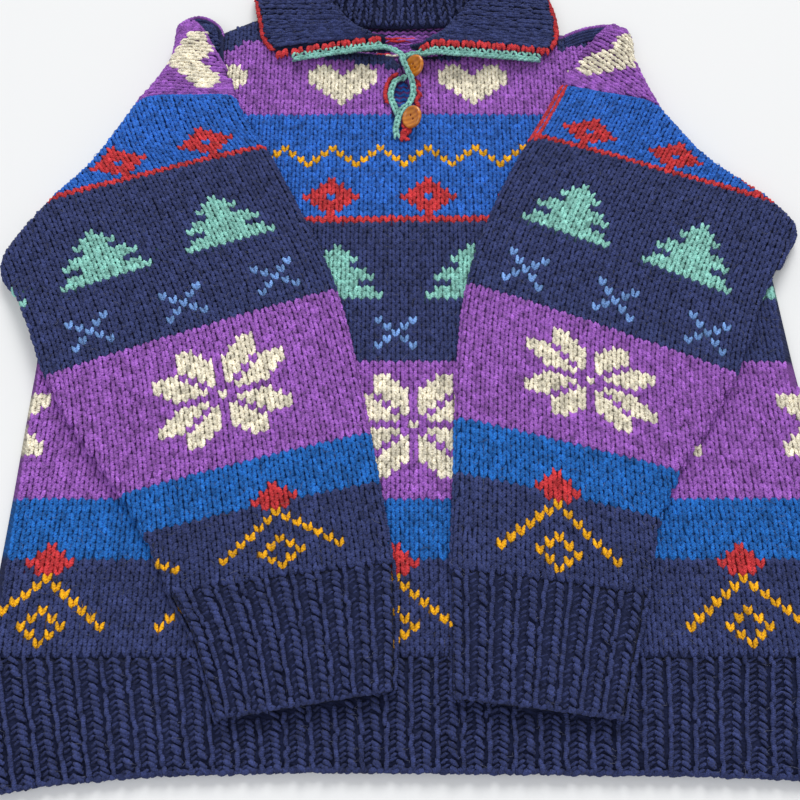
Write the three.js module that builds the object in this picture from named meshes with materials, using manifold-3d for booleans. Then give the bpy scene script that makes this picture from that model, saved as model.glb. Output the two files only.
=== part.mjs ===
// Hand-knitted wool pullover with a ribbed collar, laid on its back with both sleeves folded
// over the front. Millimetres, +Z up. Plan places are measured from the middle of the hem:
// x to the right of the neck slit, y up from the hem edge, z up from the surface it lies on.
import * as THREE from 'three';
import { mergeVertices } from 'three/addons/utils/BufferGeometryUtils.js';
import Module from 'manifold-3d';

const wasm = await Module();
wasm.setup();

// ---------------------------------------------------------------- driving dimensions

const cloth = 4;          // thickness of one layer of the knitted wool
const gap = 0.4;          // air between two layers that lie on each other
const seam = 0.15;        // half of the clearance left along a sewn seam
const pitch = cloth + gap;

const backLevel = 0;                         // underside of the back, on the surface
const frontLevel = pitch;                    // underside of the front
const sleeveLevel = 2 * pitch;               // underside of a sleeve folded over the front
const sleeveTop = sleeveLevel + 2 * cloth + gap;

const ribTop = 73;        // height of the hem rib
const slitFoot = 528;     // lower end of the neck slit
const neckFront = 612;    // front neckline at the slit
const neckBack = 653;     // back neckline at its middle
const slitOpen = 6;       // half of the slit's widest opening

const cornerRow = { left: 21, right: 17 };   // sleeve row at the outer corner of the fold
const cuffRow = 82;                          // sleeve row where the cuff rib begins

const collarCloth = 4.4;  // thickness of the collar's ribbing
const yarn = 3;           // radius of a row of crochet on the collar, and of a chain
const fineYarn = 2;       // radius of the row of crochet beside the slit
const buttonRadius = 10;
const buttonDepth = 4.5;
const buttonTilt = 0.75;  // radians, the buttons lean towards the slit
const buttonTurn = 0.45;  // and are turned by this as seen from above

// ---------------------------------------------------------------- short tables of the layout

// Side edges of the body below the arms, from the hem upwards.
const bodySide = {
  left: [[-285, -18], [-284, ribTop], [-282, 200], [-281, 292], [-283, 395]],
  right: [[320, -8], [316, ribTop], [311, 200], [304, 300], [299, 400]],
};

// Lower edge of the hem between its two corners.
const hemLine = [[-228, -8], [-163, -2.5], [-65, 0], [65, -1], [196, -2.5], [261, -5]];

// Where the lower layers stop beside the fold, from the underarm up to the shoulder.
const underFold = {
  left: [[-260, 452], [-247, 492], [-214.5, 554], [-201, 580], [-189, 603], [-188.5, 629], [-185, 648]],
  right: [[267, 456], [246, 496], [211, 551], [202, 577], [194, 604], [192, 630], [189, 646]],
};

// Shoulder lines from the fold to the neck.
const shoulder = {
  left: [[-165, 641], [-132, 659], [-93, 662]],
  right: [[165, 643], [146, 637], [93, 654]],
};

// Corner of the body that is folded over with each sleeve, from the shoulder down to the armhole:
// outer is the fold, inner the shoulder seam, roll the radius of the fold.
const corner = {
  left: [
    { outer: [-201, 640], inner: [-163, 645], roll: 12 },
    { outer: [-200.5, 625], inner: [-158, 634], roll: 13 },
    { outer: [-203.5, 602], inner: [-155, 605], roll: 12.5 },
    { outer: [-214, 577], inner: [-149, 581], roll: 12 },
    { outer: [-229, 553], inner: [-145, 562], roll: 11 },
  ],
  right: [
    { outer: [206, 637], inner: [184, 640], roll: 10 },
    { outer: [208, 626], inner: [172, 626], roll: 12 },
    { outer: [208, 604], inner: [158, 606], roll: 12.5 },
    { outer: [216, 574], inner: [147, 588], roll: 12 },
    { outer: [226, 547], inner: [142, 573], roll: 11 },
  ],
};

// Each sleeve by knitted rows counted from the armhole: inner is the edge over the front,
// outer the fold down to the corner and the underarm edge after it. roll is the radius of
// the fold and arm the reach of the layer that is left below it, both only above the corner.
const sleeve = {
  left: [
    { row: 0, inner: [-145, 561], outer: [-229, 552], roll: 11, arm: 11 },
    { row: 7, inner: [-131, 530], outer: [-261, 488], roll: 10, arm: 10 },
    { row: 14, inner: [-114, 503], outer: [-294, 445], roll: 9.5, arm: 30 },
    { row: 21, inner: [-98, 471], outer: [-321, 391], roll: 9, arm: 36 },
    { row: 28, inner: [-82, 437], outer: [-303, 356] },
    { row: 35, inner: [-65, 400], outer: [-287, 320] },
    { row: 42, inner: [-51, 362], outer: [-269, 285] },
    { row: 53, inner: [-34, 294], outer: [-236, 232] },
    { row: 64, inner: [-23, 237], outer: [-202, 188] },
    { row: 71, inner: [-16, 198], outer: [-182, 159] },
    { row: 82, inner: [-6, 138], outer: [-160, 116] },
    { row: 90, inner: [-4, 95], outer: [-142, 86] },
    { row: 99, inner: [-4, 50], outer: [-122, 31] },
  ],
  right: [
    { row: 0, inner: [142, 572], outer: [226, 545], roll: 11, arm: 11 },
    { row: 7, inner: [128, 543], outer: [262, 490], roll: 10, arm: 10 },
    { row: 14, inner: [113, 515], outer: [313, 442], roll: 9.5, arm: 44 },
    { row: 17, inner: [106, 503], outer: [324, 423], roll: 9, arm: 44 },
    { row: 21, inner: [97, 485], outer: [311, 396] },
    { row: 28, inner: [81, 450], outer: [286, 357] },
    { row: 35, inner: [66, 410], outer: [272, 321] },
    { row: 42, inner: [54, 368], outer: [256, 287] },
    { row: 53, inner: [46, 309], outer: [232, 247] },
    { row: 64, inner: [42, 250], outer: [204, 206] },
    { row: 71, inner: [40, 206], outer: [186, 170] },
    { row: 82, inner: [36, 134], outer: [172, 115] },
    { row: 90, inner: [35.5, 90], outer: [160, 75] },
    { row: 99, inner: [35, 45], outer: [148, 31] },
  ],
};

// Half sections of the collar from its front end round to the middle of the back of the neck:
// neck is the sewn edge, roll the crest that it folds over, edge its free edge.
const collarHalf = {
  left: [
    { neck: [-8, 613, 15.5], roll: [-17, 623, 24], edge: [-112, 616, 13] },
    { neck: [-32, 617, 12], roll: [-30, 624, 27.5], edge: [-121, 632, 12.5] },
    { neck: [-60, 619, 12], roll: [-45, 633, 29], edge: [-125, 650, 13] },
    { neck: [-82, 634, 12], roll: [-59, 651, 30.5], edge: [-129, 671, 13] },
    { neck: [-91, 650, 12], roll: [-75, 676, 32], edge: [-131, 694, 8] },
    { neck: [-86, 657, 9], roll: [-72, 694, 33], edge: [-118, 720, 6.5] },
    { neck: [-58, 652, 8], roll: [-48, 702, 33], edge: [-82, 741, 6.5] },
    { neck: [-29, 650, 8], roll: [-24, 706, 33], edge: [-41, 752, 6.5] },
    { neck: [0, 649, 8], roll: [0, 707, 33], edge: [0, 755, 6.5] },
  ],
  right: [
    { neck: [10, 616, 17], roll: [32, 618, 25], edge: [134, 620, 13] },
    { neck: [32, 617, 12], roll: [42, 625, 27.5], edge: [139, 632, 12.5] },
    { neck: [60, 619, 12], roll: [52, 638, 29.5], edge: [139.5, 649, 13] },
    { neck: [82, 634, 12], roll: [64, 656, 30.5], edge: [136, 670, 13] },
    { neck: [91, 646, 12], roll: [77, 677, 32], edge: [132, 692, 8] },
    { neck: [86, 655, 9], roll: [73, 694, 33], edge: [118, 720, 6.5] },
    { neck: [58, 652, 8], roll: [48, 702, 33], edge: [82, 741, 6.5] },
    { neck: [29, 650, 8], roll: [24, 706, 33], edge: [41, 752, 6.5] },
    { neck: [0, 649, 8], roll: [0, 707, 33], edge: [0, 755, 6.5] },
  ],
};

// Crochet along the slit, from the collar down. The left chain comes over the right one and over
// the low edge of the upper button; the red row lies flat on the front, round both of them.
const slitRow = {
  left: [
    [-8, 610.5, 21.5], [0.5, 605.5, 21], [3.5, 597, 22.3], [6, 588, 22.3], [9.8, 579, 17.5], [11.4, 569, 13],
    [8, 556.5, 12.3], [1.8, 548, 12.8], [-1.8, 539, 12.2], [-3.4, 529, 11.9], [-3.2, 525, 11.9],
  ],
  right: [
    [20, 606, 17], [8, 607, 14], [0, 603, 12], [-1, 595, 11.8], [-2, 588, 11.8], [-5, 582, 11.8],
    [-7.8, 574, 11.8], [-8.2, 565, 11.8], [-6.8, 556, 11.8], [-5.5, 550, 11.8],
  ],
  red: [
    [-9, 596], [-13, 588], [-15.5, 580], [-16.5, 570], [-16, 558], [-13.5, 546], [-12, 534], [-9, 524],
    [-3, 518.5], [5, 518], [13, 521], [19, 530], [20.5, 545], [20.5, 560], [20, 575],
  ],
};
const redLevel = frontLevel + cloth + fineYarn + 0.3;

// Buttons beside the slit.
const buttonPlace = { upper: [12.8, 594], lower: [10.5, 536] };
const buttonLevel = 18.5; // the low side rests on the front, the high side stands off it

// ---------------------------------------------------------------- colours

const wool = (hex) => new THREE.MeshStandardMaterial({ color: hex, roughness: 0.95, metalness: 0 });
const navy = wool('#2f3157');
const purple = wool('#7d47a6');
const blue = wool('#2a55b5');
const red = wool('#b8323c');
const mint = wool('#6fb8a4');
const wood = new THREE.MeshStandardMaterial({ color: '#c27a2c', roughness: 0.45, metalness: 0 });

// ---------------------------------------------------------------- helpers

const point = ([x, y, z = 0]) => new THREE.Vector3(x, y, z);

// A smooth curve through the points, closed at neither end.
const curve = (points) => new THREE.CatmullRomCurve3(points.map(point), false, 'centripetal');

// The solid as a manifold, from any closed three.js geometry.
function toSolid(geometry) {
  const bare = geometry.clone();
  bare.deleteAttribute('normal');
  bare.deleteAttribute('uv');
  const merged = mergeVertices(bare, 1e-4);
  const mesh = new wasm.Mesh({
    numProp: 3,
    vertProperties: Float32Array.from(merged.attributes.position.array),
    triVerts: Uint32Array.from(merged.index.array),
  });
  return new wasm.Manifold(mesh);
}

// The manifold back as a three.js geometry.
function toGeometry(solid) {
  const { vertProperties, triVerts } = solid.getMesh();
  const geometry = new THREE.BufferGeometry();
  geometry.setAttribute('position', new THREE.BufferAttribute(vertProperties, 3));
  geometry.setIndex(Array.from(triVerts));
  geometry.computeVertexNormals();
  return geometry;
}

function joined(...geometries) {
  return toGeometry(geometries.map(toSolid).reduce((whole, next) => whole.add(next)));
}

// A closed wall lofted through sections. Each section is a pair of paths with equal numbers of
// points, one on each face of the cloth. Each quad is split along its shorter diagonal, so that
// nested layers are split alike.
function loft(sections) {
  const rings = sections.map(([face, back]) => [...face, ...[...back].reverse()]);
  const count = rings[0].length;
  const index = [];
  for (let s = 0; s < rings.length - 1; s += 1) {
    for (let i = 0; i < count; i += 1) {
      const j = (i + 1) % count;
      const [a, b] = [s * count + i, s * count + j];
      if (rings[s][i].distanceTo(rings[s + 1][j]) < rings[s][j].distanceTo(rings[s + 1][i])) {
        index.push(a, b, b + count, a, b + count, a + count);
      } else {
        index.push(a, b, a + count, b, b + count, a + count);
      }
    }
  }
  const last = (rings.length - 1) * count;
  for (let i = 0; i < count / 2 - 1; i += 1) {
    const [a, b, c, d] = [i, i + 1, count - 2 - i, count - 1 - i];
    index.push(a, c, b, a, d, c);
    index.push(last + a, last + b, last + c, last + a, last + c, last + d);
  }
  return facingOut(rings.flat().flatMap((p) => [p.x, p.y, p.z]), index);
}

// A tube with a wall: outer and inner loops with equal numbers of points, open at both ends.
function hollowLoft(outerLoops, innerLoops) {
  const count = outerLoops[0].length;
  const positions = [...outerLoops, ...innerLoops].flat().flatMap((p) => [p.x, p.y, p.z]);
  const inside = outerLoops.length * count;
  const last = (outerLoops.length - 1) * count;
  const index = [];
  for (let i = 0; i < count; i += 1) {
    const j = (i + 1) % count;
    for (let s = 0; s < outerLoops.length - 1; s += 1) {
      const a = s * count + i;
      const b = s * count + j;
      index.push(a, b, b + count, a, b + count, a + count);
      index.push(inside + a, inside + b + count, inside + b);
      index.push(inside + a, inside + a + count, inside + b + count);
    }
    index.push(i, inside + j, j, i, inside + i, inside + j);
    index.push(last + i, last + j, inside + last + j, last + i, inside + last + j, inside + last + i);
  }
  return facingOut(positions, index);
}

// The closed mesh with its faces turned so that its volume is positive.
function facingOut(positions, index) {
  let volume = 0;
  const [a, b, c] = [new THREE.Vector3(), new THREE.Vector3(), new THREE.Vector3()];
  for (let i = 0; i < index.length; i += 3) {
    a.fromArray(positions, index[i] * 3);
    b.fromArray(positions, index[i + 1] * 3);
    c.fromArray(positions, index[i + 2] * 3);
    volume += a.dot(b.cross(c));
  }
  if (volume < 0) {
    for (let i = 0; i < index.length; i += 3) [index[i], index[i + 1]] = [index[i + 1], index[i]];
  }
  const geometry = new THREE.BufferGeometry();
  geometry.setAttribute('position', new THREE.Float32BufferAttribute(positions, 3));
  geometry.setIndex(index);
  geometry.computeVertexNormals();
  return geometry;
}

// A flat layer of cloth cut to an outline.
function layer(outline, level) {
  const shape = new THREE.Shape(outline.map(([x, y]) => new THREE.Vector2(x, y)));
  const geometry = new THREE.ExtrudeGeometry(shape, { depth: cloth, bevelEnabled: false });
  return geometry.translate(0, 0, level);
}

// A round row of crochet along a curve.
function crochet(points, steps, radius = yarn) {
  const section = new THREE.Shape().absarc(0, 0, radius, 0, 2 * Math.PI);
  return new THREE.ExtrudeGeometry(section, {
    steps, extrudePath: curve(points), curveSegments: 4, bevelEnabled: false,
  });
}

function piece(name, geometry, material) {
  const mesh = new THREE.Mesh(geometry, material);
  mesh.name = name;
  return mesh;
}

// ---------------------------------------------------------------- folds in cross-section

const rollSteps = 6;      // steps round a fold
const foldEnd = 8;        // how far the lower layer of a folded corner goes on past its fold

// A flat profile in the plane of one row: u runs inwards from the fold, z up. It starts on the
// lower layer at reach arm, goes round the fold of radius roll and back along the upper layer
// to the width. depth moves it in from the outermost face of the cloth.
function foldProfile({ width, roll, arm }, depth) {
  const profile = [[arm, depth]];
  for (let i = 0; i <= rollSteps; i += 1) {
    const turn = -Math.PI / 2 - (Math.PI * i) / rollSteps;
    const radius = roll - depth;
    profile.push([roll + radius * Math.cos(turn), roll + radius * Math.sin(turn)]);
  }
  profile.push([width, sleeveTop - depth]);
  return profile;
}

// Puts a profile point into space on the row from its outer to its inner end.
function onRow({ outer, inner }, [u, z]) {
  const out = new THREE.Vector2(...outer);
  const along = new THREE.Vector2(...inner).sub(out).normalize();
  return new THREE.Vector3(out.x + along.x * u, out.y + along.y * u, z);
}

const rowWidth = ({ outer, inner }) => Math.hypot(outer[0] - inner[0], outer[1] - inner[1]);

// One layer of the folded corner of the body: the back is outermost, the front inside it.
function foldedCorner(rows, depth) {
  return loft(rows.map((row) => {
    const shape = { width: rowWidth(row), roll: row.roll, arm: row.roll + foldEnd };
    return [depth, depth + cloth].map((face) => foldProfile(shape, face).map((p) => onRow(row, p)));
  }));
}

// ---------------------------------------------------------------- sleeves

// The row table read at any row, smoothly.
function rowAt(rows, row) {
  const next = Math.max(rows.findIndex((entry) => entry.row >= row), 1);
  const [from, to] = [rows[next - 1], rows[next]];
  const share = THREE.MathUtils.clamp((row - from.row) / (to.row - from.row), 0, 1);
  const t = (next - 1 + share) / (rows.length - 1);
  const at = (key) => {
    const place = curve(rows.map((entry) => entry[key])).getPoint(t);
    return [place.x, place.y];
  };
  const mix = (key) => THREE.MathUtils.lerp(from[key] ?? 0, to[key] ?? 0, share);
  return { outer: at('outer'), inner: at('inner'), roll: mix('roll'), arm: mix('arm') };
}

const seamAngle = 8;      // degrees where the outer faces start to round off at the underarm seam
const seamInset = 0.8;    // and how far in from it the inner faces start

// The profile below the corner, where both layers end side by side at the underarm seam. The
// two outer faces round off there and the two inner faces stay flat.
function seamProfile(width, depth) {
  const half = cloth + gap / 2;
  const middle = sleeveTop - half;
  const side = depth < pitch ? 1 : -1;
  const outside = depth === 0 || depth > pitch;
  const profile = [];
  for (let i = 0; i <= rollSteps + 1; i += 1) {
    const share = i / (rollSteps + 1);
    const turn = THREE.MathUtils.degToRad(THREE.MathUtils.lerp(seamAngle, 90, share));
    profile.push(outside
      ? [half - half * Math.cos(turn), middle + side * half * Math.sin(turn)]
      : [THREE.MathUtils.lerp(seamInset, half, share), middle + side * gap / 2]);
  }
  profile.push([width, sleeveTop - depth]);
  return profile;
}

const foldedRows = [0.3, 3.5, 7, 10.5, 14];  // sleeve rows of the sections above the outer corner
const seamedSteps = 16;                      // sections from below the corner to the cuff

// A sleeve as one wall. Down to the row of its outer corner it starts on the lower layer, wraps
// the fold, turns back at the inner edge and ends on the lower layer again; below that row both
// ends meet at a seam.
function sleeveWall(rows, lastFolded) {
  const stations = [...foldedRows, (foldedRows.at(-1) + lastFolded) / 2, lastFolded];
  for (let i = 0; i <= seamedSteps; i += 1) {
    stations.push(THREE.MathUtils.lerp(lastFolded + 3, cuffRow - seam, i / seamedSteps));
  }
  return loft(stations.map((station) => {
    const row = rowAt(rows, station);
    const half = cloth + gap / 2;
    const shape = { width: rowWidth(row) - half, roll: row.roll, arm: Math.max(row.arm, row.roll + 0.1) };
    const layerFace = (depth) => {
      return station > lastFolded ? seamProfile(shape.width, depth) : foldProfile(shape, depth);
    };
    const faceOf = (depth) => {
      const turn = [60, 20, -20, -60].map((degrees) => {
        const angle = THREE.MathUtils.degToRad(degrees);
        const radius = half - depth;
        return [shape.width + radius * Math.cos(angle), sleeveTop - half + radius * Math.sin(angle)];
      });
      return [...layerFace(depth), ...turn, ...layerFace(2 * half - depth).reverse()];
    };
    return [0, cloth].map((depth) => faceOf(depth).map((p) => onRow(row, p)));
  }));
}

// A loop round the flat tube, moved in by depth from its outer face.
function tubeLoop(row, depth) {
  const half = cloth + gap / 2;
  const radius = half - depth;
  const middle = sleeveLevel + half;
  const width = rowWidth(row);
  const loop = [];
  for (const [centre, start] of [[width - half, -90], [half, 90]]) {
    for (const degrees of [0, 45, 90, 135, 180]) {
      const angle = THREE.MathUtils.degToRad(start + degrees);
      loop.push(onRow(row, [centre + radius * Math.cos(angle), middle + radius * Math.sin(angle)]));
    }
  }
  return loop;
}

const cuffSteps = 5;

function cuffTube(rows, firstRow, lastRow, steps) {
  const stations = Array.from({ length: steps + 1 }, (_, i) => {
    return rowAt(rows, THREE.MathUtils.lerp(firstRow, lastRow, i / steps));
  });
  return hollowLoft(stations.map((row) => tubeLoop(row, 0)), stations.map((row) => tubeLoop(row, cloth)));
}

function sleevePieces(side) {
  const rows = sleeve[side];
  const cuff = cuffTube(rows, cuffRow + seam, rows.at(-1).row, cuffSteps);
  return [
    piece(`sleeve_${side}`, sleeveWall(rows, cornerRow[side]), blue),
    piece(`cuff_${side}`, cuff, navy),
  ];
}

// ---------------------------------------------------------------- body

const aboveRib = (points) => points.slice(1);

// Outline of a panel above the hem rib, going round from the left rib corner; neck is its neckline.
function panelOutline(neck) {
  const [left, ...leftRest] = aboveRib(bodySide.left);
  const [right, ...rightRest] = aboveRib(bodySide.right);
  return [
    [left[0], left[1] + seam], ...leftRest, ...underFold.left, ...shoulder.left, ...neck,
    ...[...shoulder.right].reverse(), ...[...underFold.right].reverse(), ...rightRest.reverse(),
    [right[0], right[1] + seam],
  ];
}

const backNeck = [[-60, 657], [-30, 654.5], [0, neckBack], [30, 654.5], [60, 657]];
const slitHeight = neckFront - slitFoot;
const frontNeck = [
  [-82, 634], [-60, 620], [-30, 615],
  [-3, neckFront], [-slitOpen, slitFoot + 0.7 * slitHeight], [-slitOpen, slitFoot + 0.4 * slitHeight],
  [-3, slitFoot],
  [slitOpen, slitFoot + 0.4 * slitHeight], [slitOpen, slitFoot + 0.7 * slitHeight], [3, neckFront],
  [30, 615], [60, 620], [82, 634],
];

function bodyPanel(neck, level, depth) {
  return joined(
    layer(panelOutline(neck), level),
    foldedCorner(corner.left, depth),
    foldedCorner(corner.right, depth),
  );
}

function hemRib(level) {
  const [leftFoot, leftTop] = bodySide.left;
  const [rightFoot, rightTop] = bodySide.right;
  return layer([
    leftFoot, ...hemLine, rightFoot, [rightTop[0], rightTop[1] - seam], [leftTop[0], leftTop[1] - seam],
  ], level);
}

// ---------------------------------------------------------------- collar

const collarSteps = 12;   // sections in each half
const acrossSteps = 10;   // points from the neck over the roll to the free edge
const standShare = 0.55;  // where the stand bends, as a share of the way from neck to roll
const standRise = 0.3;    // and how much of its height it has gained there
const flapShare = 0.45;   // where the flap is fullest, as a share of the way from roll to edge
const flapCrown = 1.5;    // and how far it stands above the straight line there

// One half of the collar as a grid of points on the middle of its cloth.
function collarGrid(half) {
  const lines = ['neck', 'roll', 'edge'].map((key) => curve(half.map((entry) => entry[key])));
  const grid = [];
  for (let i = 0; i <= collarSteps; i += 1) {
    const [neck, roll, edge] = lines.map((line) => line.getPoint(i / collarSteps));
    const stand = neck.clone().lerp(roll, standShare);
    stand.z = THREE.MathUtils.lerp(neck.z, roll.z, standRise);
    const flap = roll.clone().lerp(edge, flapShare);
    flap.z += flapCrown;
    const across = new THREE.CatmullRomCurve3([neck, stand, roll, flap, edge], false, 'centripetal');
    grid.push(Array.from({ length: acrossSteps + 1 }, (_, j) => across.getPoint(j / acrossSteps)));
  }
  return grid;
}

// A sheet with a wall from a grid of points, moved out to both sides along its normals.
function thickSheet(grid, thickness) {
  const [rows, columns] = [grid.length, grid[0].length];
  const sides = [[], []];
  for (let i = 0; i < rows; i += 1) {
    for (let j = 0; j < columns; j += 1) {
      const alongRow = grid[Math.min(i + 1, rows - 1)][j].clone().sub(grid[Math.max(i - 1, 0)][j]);
      const across = grid[i][Math.min(j + 1, columns - 1)].clone().sub(grid[i][Math.max(j - 1, 0)]);
      const normal = alongRow.cross(across).normalize().multiplyScalar(thickness / 2);
      sides[0].push(grid[i][j].clone().add(normal));
      sides[1].push(grid[i][j].clone().sub(normal));
    }
  }
  const positions = sides.flat().flatMap((p) => [p.x, p.y, p.z]);
  const under = rows * columns;
  const index = [];
  const quad = (a, b, c, d) => index.push(a, b, c, a, c, d);
  for (let i = 0; i < rows - 1; i += 1) {
    for (let j = 0; j < columns - 1; j += 1) {
      const a = i * columns + j;
      quad(a, a + 1, a + 1 + columns, a + columns);
      quad(under + a, under + a + columns, under + a + 1 + columns, under + a + 1);
    }
    const first = i * columns;
    const final = first + columns - 1;
    quad(first, first + columns, under + first + columns, under + first);
    quad(final, under + final, under + final + columns, final + columns);
  }
  for (let j = 0; j < columns - 1; j += 1) {
    const end = (rows - 1) * columns + j;
    quad(j, under + j, under + j + 1, j + 1);
    quad(end, end + 1, under + end + 1, under + end);
  }
  return facingOut(positions, index);
}

const leftGrid = collarGrid(collarHalf.left);
const rightGrid = collarGrid(collarHalf.right);
const collar = thickSheet([...leftGrid, ...rightGrid.slice(0, -1).reverse()], collarCloth);

// A row along the collar's front end from point first to the corner, moved out by reach.
function endRow(grid, reach, first) {
  return grid[0].slice(first).map((p) => [p.x, p.y - reach, p.z]);
}

const firstStitch = 6;    // point of the collar's end where its two rows of crochet start
const redReach = yarn + 2.4;        // middle of the red row outside the cloth
const mintReach = { left: 13, right: 15.5 }; // and of the mint rows, across their little arches

// The free edge of the collar moved out past its cloth, from its rounded corner to the back.
function edgeRow(half) {
  const line = curve(half.map(({ roll, edge }) => {
    const out = point(edge).sub(point(roll)).normalize().multiplyScalar(redReach);
    return point(edge).add(out).toArray();
  }));
  const points = line.getPoints(2 * half.length);
  points[0].y -= redReach;
  return points.map((p) => p.toArray());
}

const redCollar = [
  ...endRow(leftGrid, redReach, firstStitch), ...edgeRow(collarHalf.left),
  ...edgeRow(collarHalf.right).slice(0, -1).reverse(),
  ...endRow(rightGrid, redReach, firstStitch).reverse(),
];

// A mint row along one end of the collar, going on down its side of the slit.
function mintRow(side, grid) {
  const end = endRow(grid, mintReach[side], firstStitch).slice(0, -1).reverse();
  return [...end, ...slitRow[side]];
}

// ---------------------------------------------------------------- buttons

// A turned wooden button with a raised rim, leaning towards the slit.
function button([x, y]) {
  const half = buttonDepth / 2;
  const profile = [
    [0, -half], [0.75 * buttonRadius, -half], [buttonRadius, -0.3 * half], [buttonRadius, 0.4 * half],
    [0.85 * buttonRadius, half], [0.6 * buttonRadius, 0.6 * half], [0, 0.5 * half],
  ].map(([r, z]) => new THREE.Vector2(r, z));
  return new THREE.LatheGeometry(profile, 20)
    .rotateX(Math.PI / 2).rotateY(-buttonTilt).rotateZ(buttonTurn).translate(x, y, buttonLevel);
}

// ---------------------------------------------------------------- the pullover

const sweater = new THREE.Group();
sweater.add(
  piece('back_panel', bodyPanel(backNeck, backLevel, 0), purple),
  piece('back_hem_rib', hemRib(backLevel), navy),
  piece('front_panel', bodyPanel(frontNeck, frontLevel, pitch), purple),
  piece('front_hem_rib', hemRib(frontLevel), navy),
  ...sleevePieces('left'),
  ...sleevePieces('right'),
  piece('collar', collar, navy),
  piece('collar_edging', crochet(redCollar, 62), red),
  piece('slit_edging', crochet(slitRow.red.map(([x, y]) => [x, y, redLevel]), 24, fineYarn), red),
  piece('mint_edging_left', crochet(mintRow('left', leftGrid), 32), mint),
  piece('mint_edging_right', crochet(mintRow('right', rightGrid), 32), mint),
  piece('button_upper', button(buttonPlace.upper), wood),
  piece('button_lower', button(buttonPlace.lower), wood),
);

// The origin is the middle of the pullover's footprint, on the surface.
const box = new THREE.Box3().setFromObject(sweater);
const middle = box.getCenter(new THREE.Vector3());
sweater.position.set(-middle.x, -middle.y, -box.min.z);

export default sweater;
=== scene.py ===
import math

import bpy
import numpy as np
from mathutils import Euler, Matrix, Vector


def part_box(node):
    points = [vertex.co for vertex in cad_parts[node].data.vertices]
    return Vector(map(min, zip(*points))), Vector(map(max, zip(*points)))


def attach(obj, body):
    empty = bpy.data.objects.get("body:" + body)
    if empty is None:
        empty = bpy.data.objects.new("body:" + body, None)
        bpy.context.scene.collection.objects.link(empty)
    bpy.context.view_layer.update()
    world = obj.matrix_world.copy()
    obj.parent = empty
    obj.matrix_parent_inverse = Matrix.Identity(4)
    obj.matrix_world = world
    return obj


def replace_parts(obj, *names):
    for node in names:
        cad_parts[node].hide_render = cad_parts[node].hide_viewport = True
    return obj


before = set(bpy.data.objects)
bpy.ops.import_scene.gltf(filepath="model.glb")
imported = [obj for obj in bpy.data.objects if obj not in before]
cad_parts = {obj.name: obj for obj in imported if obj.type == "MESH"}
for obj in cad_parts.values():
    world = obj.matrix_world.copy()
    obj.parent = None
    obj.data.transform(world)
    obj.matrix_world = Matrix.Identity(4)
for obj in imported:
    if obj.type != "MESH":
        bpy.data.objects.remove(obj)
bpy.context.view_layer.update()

# ---------------------------------------------------------------- lie of the pullover
# The pullover lies on its back with both sleeves folded over the front. All tables below are in
# millimetres from the middle of the hem: x to the right of the neck slit, y up, z off the table.

hem_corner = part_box("back_hem_rib")[0]  # lowest corner of the back's hem rib
HEM_LEFT, HEM_LOW = -285.0, -18.0  # the same corner in the tables
SHIFT = np.array([hem_corner.x * 1000 - HEM_LEFT, hem_corner.y * 1000 - HEM_LOW, 0.0])
MM = 0.001

STITCH, ROW = 6.8, 5.7  # one stitch across and one row up
CLOTH, PITCH = 4.0, 4.4  # thickness of a layer, and from layer to layer
FRONT_TOP = PITCH + CLOTH  # upper face of the front
HALF = CLOTH + 0.2  # radius where a tube of two layers turns
SLEEVE_TOP = 2 * PITCH + 2 * HALF  # upper face of a folded sleeve
chance = np.random.default_rng(1976)


def cubic(t, a, b, m, n):
    """Hermite cubic from a with slope m at t = 0 to b with slope n at t = 1:
    (2t^3 - 3t^2 + 1) a + (t^3 - 2t^2 + t) m + (3t^2 - 2t^3) b + (t^3 - t^2) n."""
    return ((2 * t**3 - 3 * t**2 + 1) * a + (t**3 - 2 * t**2 + t) * m
            + (3 * t**2 - 2 * t**3) * b + (t**3 - t**2) * n)


def through(at, knots, values):
    """Smooth line through values at knots: between two knots a cubic whose end slopes are the
    mean slopes of the neighbouring stretches; beyond the ends it goes on straight."""
    at, knots, values = (np.asarray(a, float) for a in (at, knots, values))
    slope = np.gradient(values, knots, axis=0)
    i = np.clip(np.searchsorted(knots, at, side="right") - 1, 0, len(knots) - 2)
    step = knots[i + 1] - knots[i]
    t = np.clip((at - knots[i]) / step, 0, 1)
    over = at - np.clip(at, knots[0], knots[-1])
    if values.ndim == 2:
        t, step, over = t[..., None], step[..., None], over[..., None]
    end = np.where(over < 0, slope[0], slope[-1])
    return cubic(t, values[i], values[i + 1], slope[i] * step, slope[i + 1] * step) + over * end


def ease(t):
    """0 below 0, 1 above 1, and 3t^2 - 2t^3 between."""
    t = np.clip(t, 0, 1)
    return t * t * (3 - 2 * t)


# Main creases: from x, y to x, y, then the half width, and the height, negative in a trough.
CREASES = [
    (-262, 452, -150, 505, 11, -2.2), (-250, 425, -120, 468, 13, 1.5),
    (268, 446, 160, 522, 11, -2.2), (252, 420, 120, 480, 13, 1.5),
    (-120, 600, -60, 540, 12, -1.6), (112, 598, 60, 545, 12, -1.4),
    (-280, 330, -262, 180, 10, 1.8), (-300, 300, -284, 130, 9, -1.6),
    (296, 330, 272, 190, 10, 1.8), (-215, 320, -120, 352, 12, -1.3),
    (205, 318, 110, 372, 12, -1.3), (-150, 150, -60, 172, 10, 1.2),
    (150, 150, 70, 190, 10, 1.2), (-20, 470, 12, 380, 12, 1.3),
    (-190, 40, -150, 10, 12, -1.2), (215, 60, 240, 5, 12, -1.2),
]


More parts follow.
